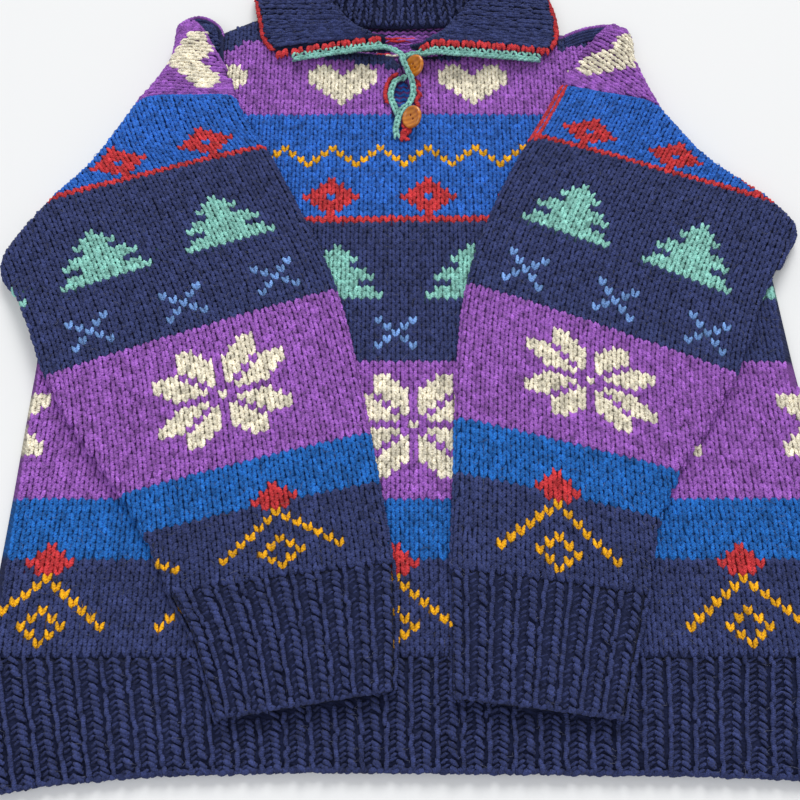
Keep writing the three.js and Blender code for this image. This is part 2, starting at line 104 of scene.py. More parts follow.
def relief(x, y):
    """Soft unevenness of cloth that lies by its own weight: two long waves and a shorter one, and
    the creases, height exp(-(distance / half width)^2) fading out towards their ends."""
    wave = 0.8 * np.sin(x / 47 + y / 83 + 0.6) + 0.7 * np.sin(y / 61 - x / 131 + 2.1)
    wave = wave + 0.35 * np.sin(x / 19 + 1.3) * np.sin(y / 23 + 0.4)
    for x0, y0, x1, y1, half_width, height in CREASES:
        long = math.hypot(x1 - x0, y1 - y0)
        t = ((x - x0) * (x1 - x0) + (y - y0) * (y1 - y0)) / long**2
        apart = ((x - x0) * (y1 - y0) - (y - y0) * (x1 - x0)) / long
        wave = wave + height * np.exp(-(apart / half_width) ** 2) * ease(2.5 * t) * ease(2.5 * (1 - t))
    return wave


# ---------------------------------------------------------------- wool
# Thick hand-spun wool in nine dyed colours. It is matt, a little uneven in its dye, and a faint
# halo of fibres lightens it at grazing angles.

DYES = {
    "N": "#394270", "P": "#a565c2", "B": "#316ecb", "T": "#246ec0", "M": "#95d4c6",
    "C": "#fff5db", "R": "#d53d41", "O": "#fab41a", "L": "#7ba3de",
}


def linear(code):
    """sRGB hex to linear: c/12.92 below 0.04045, ((c + 0.055)/1.055)^2.4 above."""
    c = np.array([int(code[i:i + 2], 16) / 255 for i in (1, 3, 5)])
    return np.where(c <= 0.04045, c / 12.92, ((c + 0.055) / 1.055) ** 2.4)


DYE_OF = np.zeros((128, 3))  # linear colour by the letter's character code
for letter, code in DYES.items():
    DYE_OF[ord(letter)] = linear(code)


def dyed(letters):
    """Linear colours of an array of dye letters."""
    letters = np.array(letters, dtype="U1", order="C")
    return DYE_OF[letters.view(np.uint32).reshape(letters.shape)]


def node(tree, kind, links=None, **settings):
    """Adds a node, sets its own settings and its inputs by name, and links inputs, by number or
    name, to the sockets given in links."""
    made = tree.nodes.new("ShaderNode" + kind)
    for key, value in settings.items():
        if hasattr(made, key):
            setattr(made, key, value)
        else:
            made.inputs[key.replace("_", " ")].default_value = value
    for key, socket in (links or {}).items():
        tree.links.new(socket, made.inputs[key])
    return made


def finish_named(name, roughness, **shader):
    """A new material with one Principled shader of that roughness: the material, its nodes and
    the shader."""
    material = bpy.data.materials.new(name)
    material.use_nodes = True
    tree = material.node_tree
    tree.nodes.clear()
    surface = node(tree, "BsdfPrincipled", Roughness=roughness, **shader)
    node(tree, "OutputMaterial", {"Surface": surface.outputs[0]})
    return material, tree, surface


def wool(name, shade, ply_depth):
    """Dyed wool. shade darkens the dye as painted shade, and ply_depth is how deep the twist of the plies
    is.
    """
    material, tree, surface = finish_named(
        name, 0.95, Sheen_Weight=0.05, Sheen_Roughness=0.6, Specular_IOR_Level=0.08)
    dye = node(tree, "Attribute", attribute_name="dye")
    place = node(tree, "TexCoord").outputs
    # Uneven dye, in patches of about 6 mm, and tufts of fibre of about 1.2 mm.
    patch = node(tree, "TexNoise", {"Vector": place["Object"]}, Scale=170.0, Detail=2.0)
    fibre = node(tree, "TexNoise", {"Vector": place["Object"]}, Scale=820.0, Detail=3.0, Roughness=0.75)
    mixed = node(tree, "Math", {0: patch.outputs[0], 1: fibre.outputs[0]}, operation="ADD")
    value = node(tree, "MapRange", {"Value": mixed.outputs[0]},
                 From_Min=0.70, From_Max=1.30, To_Min=0.55 * shade, To_Max=1.42 * shade)
    colour = node(tree, "HueSaturation", {"Color": dye.outputs["Color"], "Value": value.outputs[0]})
    tree.links.new(colour.outputs[0], surface.inputs["Base Color"])
    # Two plies wound round each other along the yarn.
    twist = node(tree, "TexWave", {"Vector": place["UV"]}, wave_type="BANDS", bands_direction="DIAGONAL",
                 Scale=1.0, Distortion=0.8, Detail=1.0)
    height = node(tree, "Math", {0: twist.outputs[1], 1: fibre.outputs[0]}, operation="ADD")
    bump = node(tree, "Bump", {"Height": height.outputs[0]}, Strength=0.9, Distance=ply_depth * MM)
    tree.links.new(bump.outputs[0], surface.inputs["Normal"])
    return material


yarn_wool = wool("handspun_dyed_wool_yarn", 1.0, 0.7)
# The ground under the stitches is darkened to 0.42 of its dye: painted shade in the gaps between the
# stitches.
shaded_ground_wool = wool("knit_ground_with_painted_shade", 0.42, 0.3)


def placed(name, data):
    """A new object of some data, in the scene."""
    made = bpy.data.objects.new(name, data)
    bpy.context.scene.collection.objects.link(made)
    return made


ON_TABLE = 0.1  # yarn is pressed flat at this height


def mesh_piece(name, points, corners, sizes, dye, uv, material):
    """A smooth mesh from points in table millimetres, the flat list of face corners, the number
    of corners of each face, one dye colour a point and one texture place a corner."""
    points = np.maximum(points, [-np.inf, -np.inf, ON_TABLE])
    mesh = bpy.data.meshes.new(name)
    mesh.vertices.add(len(points))
    mesh.vertices.foreach_set("co", ((points + SHIFT) * MM).astype(np.float32).ravel())
    mesh.loops.add(len(corners))
    mesh.loops.foreach_set("vertex_index", corners.astype(np.int32))
    mesh.polygons.add(len(sizes))
    mesh.polygons.foreach_set("loop_start", (np.cumsum(sizes) - sizes).astype(np.int32))
    mesh.update(calc_edges=True)
    mesh.polygons.foreach_set("use_smooth", np.ones(len(sizes), bool))
    colours = mesh.color_attributes.new("dye", "FLOAT_COLOR", "POINT")
    colours.data.foreach_set("color", np.insert(dye, 3, 1, axis=1).astype(np.float32).ravel())
    mesh.uv_layers.new(name="along_yarn").data.foreach_set("uv", uv.astype(np.float32).ravel())
    mesh.materials.append(material)
    made = placed(name, mesh)
    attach(made, "root")
    return made


# ---------------------------------------------------------------- yarn laid in stitches
# Each knitted stitch shows as a V of two legs of yarn: it rises between the legs of the stitch
# below, spreads, and dives behind the stitch above. Each leg is one small closed tube.

SIDES = 5  # corners round a piece of yarn
LUMPS = 0.11  # unevenness of hand-spun yarn, as a share of its radius
ANGLES = np.arange(SIDES) * 2 * math.pi / SIDES + math.pi / 2


def grain_faces():
    """Corners, face sizes and texture places of one short tube: a tip, three rings and a tip."""
    corners, sizes, uv = [], [], []
    rings = [1 + SIDES * k for k in range(3)]
    tip = 1 + 3 * SIDES
    for j in range(SIDES):
        k, a, b = (j + 1) % SIDES, j / SIDES, (j + 1) / SIDES
        corners += [0, rings[0] + k, rings[0] + j]
        uv += [(a, 0), (b, 0.5), (a, 0.5)]
        sizes.append(3)
        for n, (low, high) in enumerate(zip(rings, rings[1:])):
            corners += [low + j, low + k, high + k, high + j]
            uv += [(a, n + 0.5), (b, n + 0.5), (b, n + 1.5), (a, n + 1.5)]
            sizes.append(4)
        corners += [tip, rings[2] + j, rings[2] + k]
        uv += [(a, 3), (a, 2.5), (b, 2.5)]
        sizes.append(3)
    return np.array(corners), np.array(sizes), np.array(uv)


GRAIN_CORNERS, GRAIN_SIZES, GRAIN_UV = grain_faces()
GRAIN_POINTS = 2 + 3 * SIDES


def grains(path, normal, wide, high):
    """Points of tubes along paths of five points: the ends are tips, and round each middle
    point runs an ellipse of half axes wide (across) and high (along the cloth's normal)."""
    wide, high = (np.asarray(half, float)[..., None] for half in (wide, high))
    along = path[:, 2:] - path[:, :-2]
    across = np.cross(along, normal[:, 1:4])
    across /= np.linalg.norm(across, axis=-1, keepdims=True) + 1e-9
    out = np.cross(across, along)
    out /= np.linalg.norm(out, axis=-1, keepdims=True) + 1e-9
    lumps = 1 + LUMPS * chance.standard_normal((len(path), 3, SIDES))
    ring = (path[:, 1:4, None] + across[:, :, None] * (lumps * wide * np.cos(ANGLES))[..., None]
            + out[:, :, None] * (lumps * high * np.sin(ANGLES))[..., None])
    return np.concatenate([path[:, :1], ring.reshape(len(path), -1, 3), path[:, 4:]], axis=1)


def yarn_piece(name, parts):
    """One mesh of many grains. parts are pairs of grain points and their dye colours."""
    points = np.concatenate([p for p, _ in parts])
    dye = np.concatenate([d for _, d in parts])
    count = len(points)
    corners = (GRAIN_CORNERS + np.arange(count)[:, None] * GRAIN_POINTS).ravel()
    uv = GRAIN_UV + chance.random((count, 1, 2)) * [0, 3]
    return mesh_piece(name, points.reshape(-1, 3), corners, np.tile(GRAIN_SIZES, count),
                      np.repeat(dye, GRAIN_POINTS, axis=0), uv.reshape(-1, 2), yarn_wool)


# Leg of a V in shares of a stitch and a row, with its height off the cloth in millimetres.
LEG_ACROSS = np.array([0.06, 0.14, 0.25, 0.33, 0.37])
LEG_UP = np.array([-0.34, 0.00, 0.55, 1.05, 1.44])
LEG_OUT = np.array([-1.1, 0.75, 1.05, 0.65, -1.5])
LEG_WIDE = np.array([1.38, 1.68, 1.40])
LEG_HIGH = np.array([1.15, 1.35, 1.10])


def on_cloth(surface, c, r, out):
    """Points off a surface of (column, row) by out along its normal, and the normals: the
    normal is the cross product of the surface's steps along its columns and its rows."""
    e = 0.02
    here = surface(c, r)
    normal = np.cross(surface(c + e, r) - surface(c - e, r), surface(c, r + e) - surface(c, r - e))
    normal /= np.linalg.norm(normal, axis=-1, keepdims=True) + 1e-12
    return here + normal * np.asarray(out, float)[..., None], normal


def uneven(count, spread):
    """A column of count normal draws of that spread."""
    return spread * chance.standard_normal((count, 1))


def heather(letters):
    """Dye colours of pieces of yarn, each a little lighter or darker than the next."""
    return dyed(letters) * (1 + uneven(len(letters), 0.11)).clip(0.7, 1.35)


def spun(path, normal, wide, high, letters, shade=1.0):
    """Grains along paths and their dye colours, from a letter a grain or one for all; shade below 1 darkens
    them as painted shade.
    """
    return grains(path, normal, wide, high), shade * heather(np.full(len(path), letters))


def legs(surface, c, r, letters, sign):
    """The left (sign -1) or right (sign 1) legs of the stitches at columns c and rows r."""
    n = len(c)
    wander = uneven(n, 0.035)
    cc = c[:, None] + sign * LEG_ACROSS + wander
    rr = r[:, None] + LEG_UP + uneven(n, 0.05)
    path, normal = on_cloth(surface, cc, rr, LEG_OUT + uneven(n, 0.12))
    size = 1 + uneven(n, 0.07)
    return spun(path, normal, LEG_WIDE * size, LEG_HIGH * size, letters)


STRAY = {"plain": 0.16, "rib": 0.14}  # stray fibres to a stitch, and to a repeat of a rib's row


def stocking_stitch(surface, c, r, letters):
    """Both legs of every stitch, and a stray fibre over every few of them."""
    some = chance.random(len(c)) < STRAY["plain"]
    return [legs(surface, c, r, letters, -1), legs(surface, c, r, letters, 1),
            stray_fibres(surface, c[some], r[some], letters[some], STITCH, ROW)]


def stray_fibres(surface, c, r, letters, across, up):
    """Single fibres standing off the yarn, each a shallow arc t - bend t^2 in a direction of its
    own; across and up are the millimetres of one column and one row."""
    n = len(c)
    t = np.array([-1.0, -0.5, 0.0, 0.5, 1.0])
    turn, bend = chance.uniform(0, 2 * math.pi, (n, 1)), chance.normal(0, 0.5, (n, 1))
    long, lift = chance.uniform(2.0, 5.5, (n, 1)), chance.uniform(1.6, 3.0, (n, 1))
    ahead, aside = long * t, long * bend * t**2
    path, normal = on_cloth(surface, c[:, None] + (ahead * np.cos(turn) - aside * np.sin(turn)) / across,
                            r[:, None] + 0.5 + (ahead * np.sin(turn) + aside * np.cos(turn)) / up,
                            lift - 0.6 * t**2)
    return grains(path, normal, 0.17, 0.17), 0.8 * dyed(letters) + 0.13


# ---------------------------------------------------------------- colour charts
# The colour work: plain bands on the body and the sleeves, and small common figures of the
# knitter's stock on them: hearts, stars, firs, crosses, stepped lozenges, a zigzag and a trellis.


def chart(drawing):
    """Rows of a drawing as an array of letters, lowest row first."""
    return np.array([list(line) for line in reversed(drawing.split())])


STAR = chart("""
...CC.....CC...
...CCC...CCC...
...CCCC.CCCC...
CCC.CCC.CCC.CCC
CCCC.CC.CC.CCCC
.CCCC.C.C.CCCC.
..CCCC...CCCC..
.......C.......
..CCCC...CCCC..
.CCCC.C.C.CCCC.
CCCC.CC.CC.CCCC
CCC.CCC.CCC.CCC
...CCCC.CCCC...
...CCC...CCC...
...CC.....CC...
""")
HEART = chart("""
.CC...CC.
CCCC.CCCC
CCCCCCCCC
CCCCCCCCC
.CCCCCCC.
..CCCCC..
...CCC...
....C....
""")
FIR = chart("""
.....M.....
....MMM....
...MMMMM...
....MMM....
..MMMMMMM..
.MMMMMMMMM.
...MMMMM...
.MMMMMMMMM.
MMMMMMMMMMM
""")
SPARK = chart("""
L...L
.L.L.
..L..
.L.L.
L...L
""")
LOZENGE = chart("""
...R...
..RRR..
.RRRRR.
RRR.RRR
.RRRRR.
..RRR..
...R...
""")
TRELLIS = chart("""
......R......
.....RRR.....
....RRRRR....
.....RRR.....
......O......
.....O.O.....
....O...O....
...O.....O...
..O...O...O..
.O...O.O...O.
O...O...O...O
.....O.O.....
......O......
""")
ZIGZAG = chart("""
O.....
.O...O
..O.O.
...O..
""")
RED_STITCH = chart("R")


def stamp(field, picture, column, row):
    """Lays a picture on a field of letters with its lower left corner at column, row; a dot
    leaves the field as it is, and what falls off the field is dropped."""
    rows, cols = field.shape
    for i, line in enumerate(picture):
        for j, letter in enumerate(line):
            if letter != "." and 0 <= row + i < rows and 0 <= column + j < cols:
                field[row + i, column + j] = letter


def colour_work(rows, columns, bands, borders):
    """A navy field with bands, given by their first row and letter, and on them borders: a
    picture, its lowest row, the stitches from one to the next and the first column of one."""
    field = np.full((rows, columns), "N")
    for first, letter in bands:
        field[first:] = letter
    for picture, row, period, first in borders:
        for column in range(first % period - period, columns, period):
            stamp(field, picture, column, row)
    return field


BODY_COLUMNS, BODY_ROWS = 106, 120  # columns of the body's field, -53 to 52
body_field = colour_work(
    BODY_ROWS, BODY_COLUMNS, [(25, "T"), (33, "P"), (53, "N"), (76, "B"), (96, "P")],
    [(TRELLIS, 14, 18, 10), (STAR, 36, 24, 23), (SPARK, 55, 12, 2), (FIR, 63, 16, 8),
     (RED_STITCH, 76, 1, 0), (LOZENGE, 77, 12, 5), (ZIGZAG, 86, 6, 2), (HEART, 98, 17, 7)])

SLEEVE_COLUMNS, SLEEVE_ROWS = 50, 100  # sleeve rows counted up from the cuff's edge
sleeve_field = colour_work(
    SLEEVE_ROWS, SLEEVE_COLUMNS, [(28, "T"), (35, "P"), (57, "N"), (85, "B")],
    [(TRELLIS, 18, 17, 4), (STAR, 39, 26, 7), (SPARK, 59, 11, 3), (FIR, 69, 15, 3),
     (RED_STITCH, 85, 1, 0), (LOZENGE, 86, 11, 2)])


def letter_at(field, c, r):
    """Letters of a field at whole columns and rows, kept inside its edges."""
    rows, cols = field.shape
    return field[np.clip(r.astype(int), 0, rows - 1), np.clip(c.astype(int), 0, cols - 1)]


# ---------------------------------------------------------------- back
# The back lies on the table: a plain knitted panel with a rib at its hem. Beside the neck its
# upper corners are folded over with the sleeves, and their outer face shows.

PANEL_COLUMNS, PANEL_PLACES = 44, 118  # grid of half a panel
RIB_TOP = 73.0  # where the hem's rib ends
HEM_LINE = [[-285, -18], [-228, -8], [-163, -2.5], [-65, 0], [65, -1], [196, -2.5], [261, -5], [320, -8]]
SIDE = {
    -1: [[-284, RIB_TOP], [-282, 200], [-281, 292], [-283, 395], [-260, 452], [-247, 492],
         [-214.5, 554], [-201, 580], [-189, 603], [-188.5, 629], [-185, 648]],
    1: [[316, RIB_TOP], [311, 200], [304, 300], [299, 400], [267, 456], [246, 496], [211, 551],
        [202, 577], [194, 604], [192, 630], [189, 646]],
}
SHOULDER = {-1: [[-185, 648], [-165, 641], [-132, 659], [-93, 662]],
            1: [[93, 654], [146, 637], [165, 643], [189, 646]]}
BACK_NECK = [[-60, 657], [-30, 654.5], [0, 653], [30, 654.5], [60, 657]]
FRONT_NECK = [[-82, 636], [-60, 624], [-30, 619], [-3, 614], [3, 612], [30, 615], [60, 620], [82, 634]]
# Edges of the neck slit from its foot up, as y and x: open below the crossing of its crochet
# rows, closed above it.
SLIT = {-1: [(528, 0), (540, -1.5), (550, -4.5), (560, -6.5), (575, -6.5), (584, -2), (590, 3), (597, 2),
             (605, -1), (613, -6)],
        1: [(528, 0.5), (540, 0.5), (548, 2.5), (556, 7), (569, 10), (579, 8.5), (588, 5.5), (597, 3.5),
            (605, 1), (613, -2)]}


def side_x(side, y):
    """The side edge's x at height y."""
    x, height = np.array(SIDE[side]).T
    return np.interp(y, height, x)


def top_y(neck, x):
    """The upper edge's height at x: shoulder, neckline, shoulder."""
    line = np.array(SHOULDER[-1] + neck + SHOULDER[1])
    return np.interp(x, line[:, 0], line[:, 1])


def slit_x(side, y):
    """The x of the slit's edge on one half of the front at height y."""
    return np.interp(y, *np.array(SLIT[side], float).T)


def sheet_piece(name, face, back, dye, columns_rows):
    """A closed sheet from two grids of points: the face, the back behind it and a rim. The
    texture counts stitches: columns_rows holds the column and the row of every grid point."""
    rows, cols = face.shape[:2]
    a = (np.arange(rows - 1)[:, None] * cols + np.arange(cols - 1)).ravel()
    top = np.stack([a, a + 1, a + 1 + cols, a + cols], axis=1)
    edge = np.concatenate([np.arange(cols - 1), np.arange(rows - 1) * cols + cols - 1,
                           rows * cols - 1 - np.arange(cols - 1), (rows - 1 - np.arange(rows - 1)) * cols])
    after = np.roll(edge, -1)
    rim = np.stack([after, edge, edge + rows * cols, after + rows * cols], axis=1)
    quads = np.concatenate([top, top[:, ::-1] + rows * cols, rim])
    uv = np.concatenate([columns_rows.reshape(-1, 2)] * 2)[quads.ravel()]
    points = np.concatenate([face.reshape(-1, 3), back.reshape(-1, 3)])
    dye = np.tile(dye.reshape(-1, 3), (2, 1))
    # Every sheet takes the darkened ground wool: painted shade where it shows between the stitches.
    return mesh_piece(name, points, quads.ravel(), np.full(len(quads), 4), dye, uv, shaded_ground_wool)


def panel_half(side, neck, slit):
    """Plan grid of one half of a panel, from its hem rib to its upper edge: each row runs between
    the middle and the side edge, and each column ends on the upper edge. Because the side's x
    depends on the height and the top's height on x, the places are settled in a few rounds."""
    across, up = np.meshgrid(np.linspace(0, 1, PANEL_COLUMNS), np.linspace(0, 1, PANEL_PLACES))
    y = RIB_TOP + up * (620 - RIB_TOP)
    for _ in range(8):
        inner = slit_x(side, y) if slit else 0 * y
        x = inner + across * (side_x(side, y) - inner)
        y = RIB_TOP + up * (top_y(neck, x) - RIB_TOP)
    return (x, y) if side > 0 else (x[:, ::-1], y[:, ::-1])


SHEET_FACE, SHEET_BACK = 3.2, 0.3  # of a flat sheet above the underside of its layer


def flat_panel(name, node_name, x, y, level, neck):
    """A flat panel as a thin closed sheet over a plan grid, in the colours of its chart. The
    back lies flat on the table; a panel above it bends with the soft relief of the whole."""
    bend = 0.35 * relief(x, y) if level else 0 * x
    face, back = (np.stack([x, y, level + up + bend], axis=-1) for up in (SHEET_FACE, SHEET_BACK))
    dye = dyed(body_letters(neck, x, y))
    made = sheet_piece(name, face, back, dye, np.stack([x / STITCH, y / ROW], axis=-1))
    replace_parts(made, node_name)
    return made


NECK_SIDE = 93.0  # where the neckline ends and a shoulder begins
NAVY_YOKE = {-1: 25.0, 1: 14.0}  # navy strip below each shoulder seam
NECK_BAND = {-1: 14.0, 1: 6.0}  # and below the neckline, left and right of the slit


def body_letters(neck, x, y):
    """Letters of the body's colour work at places x, y in plan."""
    letters = letter_at(body_field, np.floor(x / STITCH) + BODY_COLUMNS // 2, np.floor(y / ROW))
    yoke, band = (np.where(x < 0, strip[-1], strip[1]) for strip in (NAVY_YOKE, NECK_BAND))
    navy = y > top_y(neck, x) - np.where(np.abs(x) > NECK_SIDE, yoke, band)
    return np.where(navy, "N", letters)


halves = [panel_half(side, BACK_NECK, False) for side in (-1, 1)]
x, y = (np.concatenate([a, b[:, 1:]], axis=1) for a, b in zip(*halves))
back_knit = flat_panel("back_knit", "back_panel", x, y, 0.0, BACK_NECK)

RIB_ROWS = 20
RIB_DEEP = 1.4  # half the height between ridge and hollow
RIB_GROUND_PAINTED_SHADE = 0.7  # the dye of a rib's ground is darkened to this share, as painted shade in the hollows between its ribs
REPEAT = 17.6  # one repeat of the stretched rib
# Places across in shares of a repeat: the straight cord right of the braid, half the braid, and
# the purl hollow. Relaxed ribbing closes up until its hollows don't show.
HEM_RIB = {"cord": 0.41, "half": 0.20, "purl": 0.66, "yarn": 1.65}
CUFF_RIB = {"cord": 0.37, "half": 0.19, "purl": 0.64, "yarn": 1.95}
RELAXED = {"cord": 0.50, "half": 0.25, "purl": None}
# How far the ribs lean to the right at the hem's edge, by x.
LEAN = [[-285, 26], [-100, 9], [0, 1], [170, -6], [320, -14]]


def hem_place(c, r):
    """Place in plan on a hem rib: repeat c and row r, from the curved hem edge to the rib top."""
    x = c * REPEAT
    x = x + np.interp(x, *np.array(LEAN).T) * (1 - r / RIB_ROWS)
    edge = np.interp(x, *np.array(HEM_LINE).T)
    return x, edge + (RIB_TOP - edge) * r / RIB_ROWS


def rib_wave(c, rib):
    """Height of ribbing at repeat c: two flat-topped ridges, exp(-(distance / half)^4) each, over
    a hollow."""
    braid = np.abs(c - np.round(c)) / rib["half"]
    cord = np.abs(c - rib["cord"] - np.round(c - rib["cord"])) / (0.65 * rib["half"])
    return RIB_DEEP * (2 * np.maximum(np.exp(-braid**4), np.exp(-cord**4)) - 1)


def hem_sheet(name, node_name, level):
    """A hem rib as a thin closed sheet."""
    c, r = np.meshgrid(np.linspace(-300, 320, 414) / REPEAT, np.linspace(0, RIB_ROWS, 8))
    x, y = hem_place(c, r)
    x = np.clip(x, np.interp(y, [-18, RIB_TOP], [-285, -284]), np.interp(y, [-8, RIB_TOP], [320, 316]))
    y = np.minimum(y, RIB_TOP - 0.15)
    face = np.stack([x, y, level + 2.2 + 0.6 * rib_wave(c, HEM_RIB)], axis=-1)
    back = np.stack([x, y, np.full_like(x, level + SHEET_BACK)], axis=-1)
    # The hem rib's ground is darkened further: painted shade in its hollows.
    made = sheet_piece(name, face, back, RIB_GROUND_PAINTED_SHADE * dyed(np.full(x.shape, "N")), np.stack([c, r], axis=-1))
    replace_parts(made, node_name)
    return made


back_rib = hem_sheet("back_hem_ribbing", "back_hem_rib", 0.0)

# ---------------------------------------------------------------- front
# The front lies on the back. Between and beside the sleeves every stitch of it shows.

SIDE_NAME = {-1: "left", 1: "right"}
front_halves = {
    side: flat_panel(f"front_knit_{word}_of_the_slit", "front_panel",
                     *panel_half(side, FRONT_NECK, True), PITCH, FRONT_NECK)
    for side, word in SIDE_NAME.items()
}
front_rib = hem_sheet("front_hem_ribbing", "front_hem_rib", PITCH)


def front_surface(c, r):
    """The front's upper face: columns across from the middle, rows up from the hem."""
    x, y = c * STITCH, r * ROW
    return np.stack([x, y, FRONT_TOP - 0.6 + 0.5 * relief(x, y)], axis=-1)


# A folded tube by station from the shoulder end: x and y of its inner edge, x and y of its outer
# edge, and the radius of the turn at the outer edge.
SLEEVE = {
    -1: [(0, -145, 561, -229, 552, 11), (7, -131, 530, -261, 488, 10), (14, -114, 503, -294, 445, 9.5),
         (21, -98, 471, -321, 391, 9), (28, -82, 437, -303, 356, HALF), (35, -65, 400, -287, 320, HALF),
         (42, -51, 362, -269, 285, HALF), (53, -34, 294, -236, 232, HALF), (64, -23, 237, -202, 188, HALF),
         (71, -16, 198, -182, 159, HALF), (82, -6, 138, -160, 116, HALF), (90, -4, 95, -142, 86, HALF),
         (99, -4, 50, -122, 31, HALF)],
    1: [(0, 142, 572, 226, 545, 11), (7, 128, 543, 262, 490, 10), (14, 113, 515, 313, 442, 9.5),
        (17, 106, 503, 324, 423, 9), (21, 97, 485, 311, 396, HALF), (28, 81, 450, 286, 357, HALF),
        (35, 66, 410, 272, 321, HALF), (42, 54, 368, 256, 287, HALF), (53, 46, 309, 232, 247, HALF),
        (64, 42, 250, 204, 206, HALF), (71, 40, 206, 186, 170, HALF), (82, 36, 134, 172, 115, HALF),
        (90, 35.5, 90, 160, 75, HALF), (99, 35, 45, 148, 31, HALF)],
}
CORNER = {  # the same of the folded corners of the body
    -1: [(0, -163, 645, -201, 640, 12), (1, -158, 634, -200.5, 625, 13), (2, -155, 605, -203.5, 602, 12.5),
         (3, -149, 581, -214, 577, 12), (4, -145, 562, -229, 553, 11)],
    1: [(0, 184, 640, 206, 637, 10), (1, 172, 626, 208, 626, 12), (2, 158, 606, 208, 604, 12.5),
        (3, 147, 588, 216, 574, 12), (4, 142, 573, 226, 547, 11)],
}
SLEEVE, CORNER = ({side: np.array(rows) for side, rows in table.items()} for table in (SLEEVE, CORNER))


def within(x, y, outline):
    """Whether points lie inside a closed outline, by counting the edges they are left of."""
    ax, ay = np.asarray(outline, float).T
    bx, by = np.roll(ax, -1), np.roll(ay, -1)
    x, y = x[..., None], y[..., None]
    crosses = (ay > y) != (by > y)
    cut = ax + (y - ay) * (bx - ax) / np.where(by == ay, 1e-9, by - ay)
    return (crosses & (x < cut)).sum(axis=-1) % 2 == 1


def table_outline(table, inset):
    """Plan outline of a table of inner and outer edges, drawn in by inset along its rows."""
    inner, outer = table[:, 1:3], table[:, 3:5]
    along = (outer - inner) / np.linalg.norm(outer - inner, axis=1, keepdims=True)
    return np.concatenate([inner + along * inset, (outer - along * inset)[::-1]])


EDGE = 3.0  # least distance from a stitch's middle to an edge
UNDER_SLEEVE, UNDER_CORNER, UNDER_CUFF = 13.0, 11.0, 22.0  # how far stitches go on under each


def front_shows(x, y):
    """Where the front isn't covered by a sleeve or a folded corner, and a little under them."""
    covered = np.zeros(x.shape, bool)
    for side in (-1, 1):
        covered |= within(x, y, table_outline(SLEEVE[side], UNDER_SLEEVE))
        covered |= within(x, y, table_outline(CORNER[side], UNDER_CORNER))
    edge = (x > side_x(-1, y) + EDGE) & (x < side_x(1, y) - EDGE)
    top = y < top_y(FRONT_NECK, x) - EDGE
    below_slit = y < SLIT[1][0][0] - 2
    beside = (x < slit_x(-1, y) - EDGE) | (x > slit_x(1, y) + EDGE) | below_slit
    return edge & top & ~covered & beside


def places(columns, rows):
    """Every pair of one of the columns and one of the rows, as two flat arrays."""
    c, r = np.meshgrid(columns, rows)
    return c.ravel().astype(float), r.ravel().astype(float)


def stitch_places(c0, c1, r0, r1):
    """Middles of the columns from c0 to before c1, at every row from r0 to before r1."""
    return places(np.arange(c0, c1) + 0.5, np.arange(r0, r1))


def front_stitches(name, r0, r1):
    """All stitches of the front that show between two rows, as one mesh."""
    c, r = stitch_places(-51, 51, r0, r1)
    x, y = c * STITCH, (r + 0.5) * ROW
    keep = front_shows(x, y) & (y > RIB_TOP - 1)
    c, r, x, y = c[keep], r[keep], x[keep], y[keep]
    made = yarn_piece(name, stocking_stitch(front_surface, c, r, body_letters(FRONT_NECK, x, y)))
    return made


front_lower = front_stitches("front_stitches_below_the_chest", 13, 60)
front_upper = front_stitches("front_stitches_of_the_yoke", 60, BODY_ROWS)

# Strokes of ribbing: up in rows, and across in shares of a repeat, the braid's in shares of half
# the braid.
BRAID_ACROSS = np.array([-1.05, -0.60, 0.0, 0.60, 1.05])
BRAID_UP = np.array([0.85, 0.72, 0.30, -0.15, -0.42])
BAR_ACROSS = np.array([-0.17, -0.10, 0.0, 0.11, 0.20])
BAR_UP = np.array([0.10, 0.30, 0.55, 0.78, 0.85])
CORD_UP = np.array([-0.42, -0.02, 0.50, 1.02, 1.45])
RELAXED_ACROSS = np.array([0.02, 0.05, 0.09, 0.12, 0.13])


def rib_yarn(surface, c, r, rib, row=1.0):
    """Ribbing, one repeat at each whole column c and row r, its rows row apart. Stretched, each
    has a braid of legs slanting down to the right, a straight cord, and bars of purl that rise
    from the cord to the next braid; relaxed, it has two columns of V side by side."""
    n = len(c)
    some = chance.random(n) < STRAY["rib"]
    parts = [stray_fibres(surface, c[some] + 0.2, r[some], np.full(some.sum(), "N"), REPEAT, ROW)]

    def lay(across, up, out, wide, high, shade=1.0):
        cc = c[:, None] + across + uneven(n, 0.45 / REPEAT)
        rr = r[:, None] + row * (up + uneven(n, 0.14))
        path, normal = on_cloth(surface, cc, rr, out + uneven(n, 0.22))
        rings = np.array([0.86, 1.0, 0.88]) * (1 + uneven(n, 0.08))
        parts.append(spun(path, normal, wide * rings, high * rings, "N", shade))

    if rib["purl"]:
        lay(rib["half"] * BRAID_ACROSS, BRAID_UP, [-1.1, 0.4, 0.8, 0.3, -1.2], rib["yarn"], 1.25)
        lay(rib["cord"] + 0 * CORD_UP, CORD_UP, [-1.0, 0.5, 0.8, 0.5, -1.0], 1.75, 1.45)
        # The purl bars are dyed 0.85 as dark as the rest: painted shade in the rib's hollow.
        lay(rib["purl"] + BAR_ACROSS, BAR_UP, [-1.0, 0.0, 0.5, 0.8, 0.2], 1.35, 1.1, 0.85)
        return parts
    for column in (0.0, rib["cord"]):
        for hand in (-1, 1):
            lay(column + hand * RELAXED_ACROSS, CORD_UP, [-1.1, 0.4, 0.8, 0.4, -1.3], 1.55, 1.25)
    return parts


CAST_ON = 5.6  # from one cast-on loop to the next


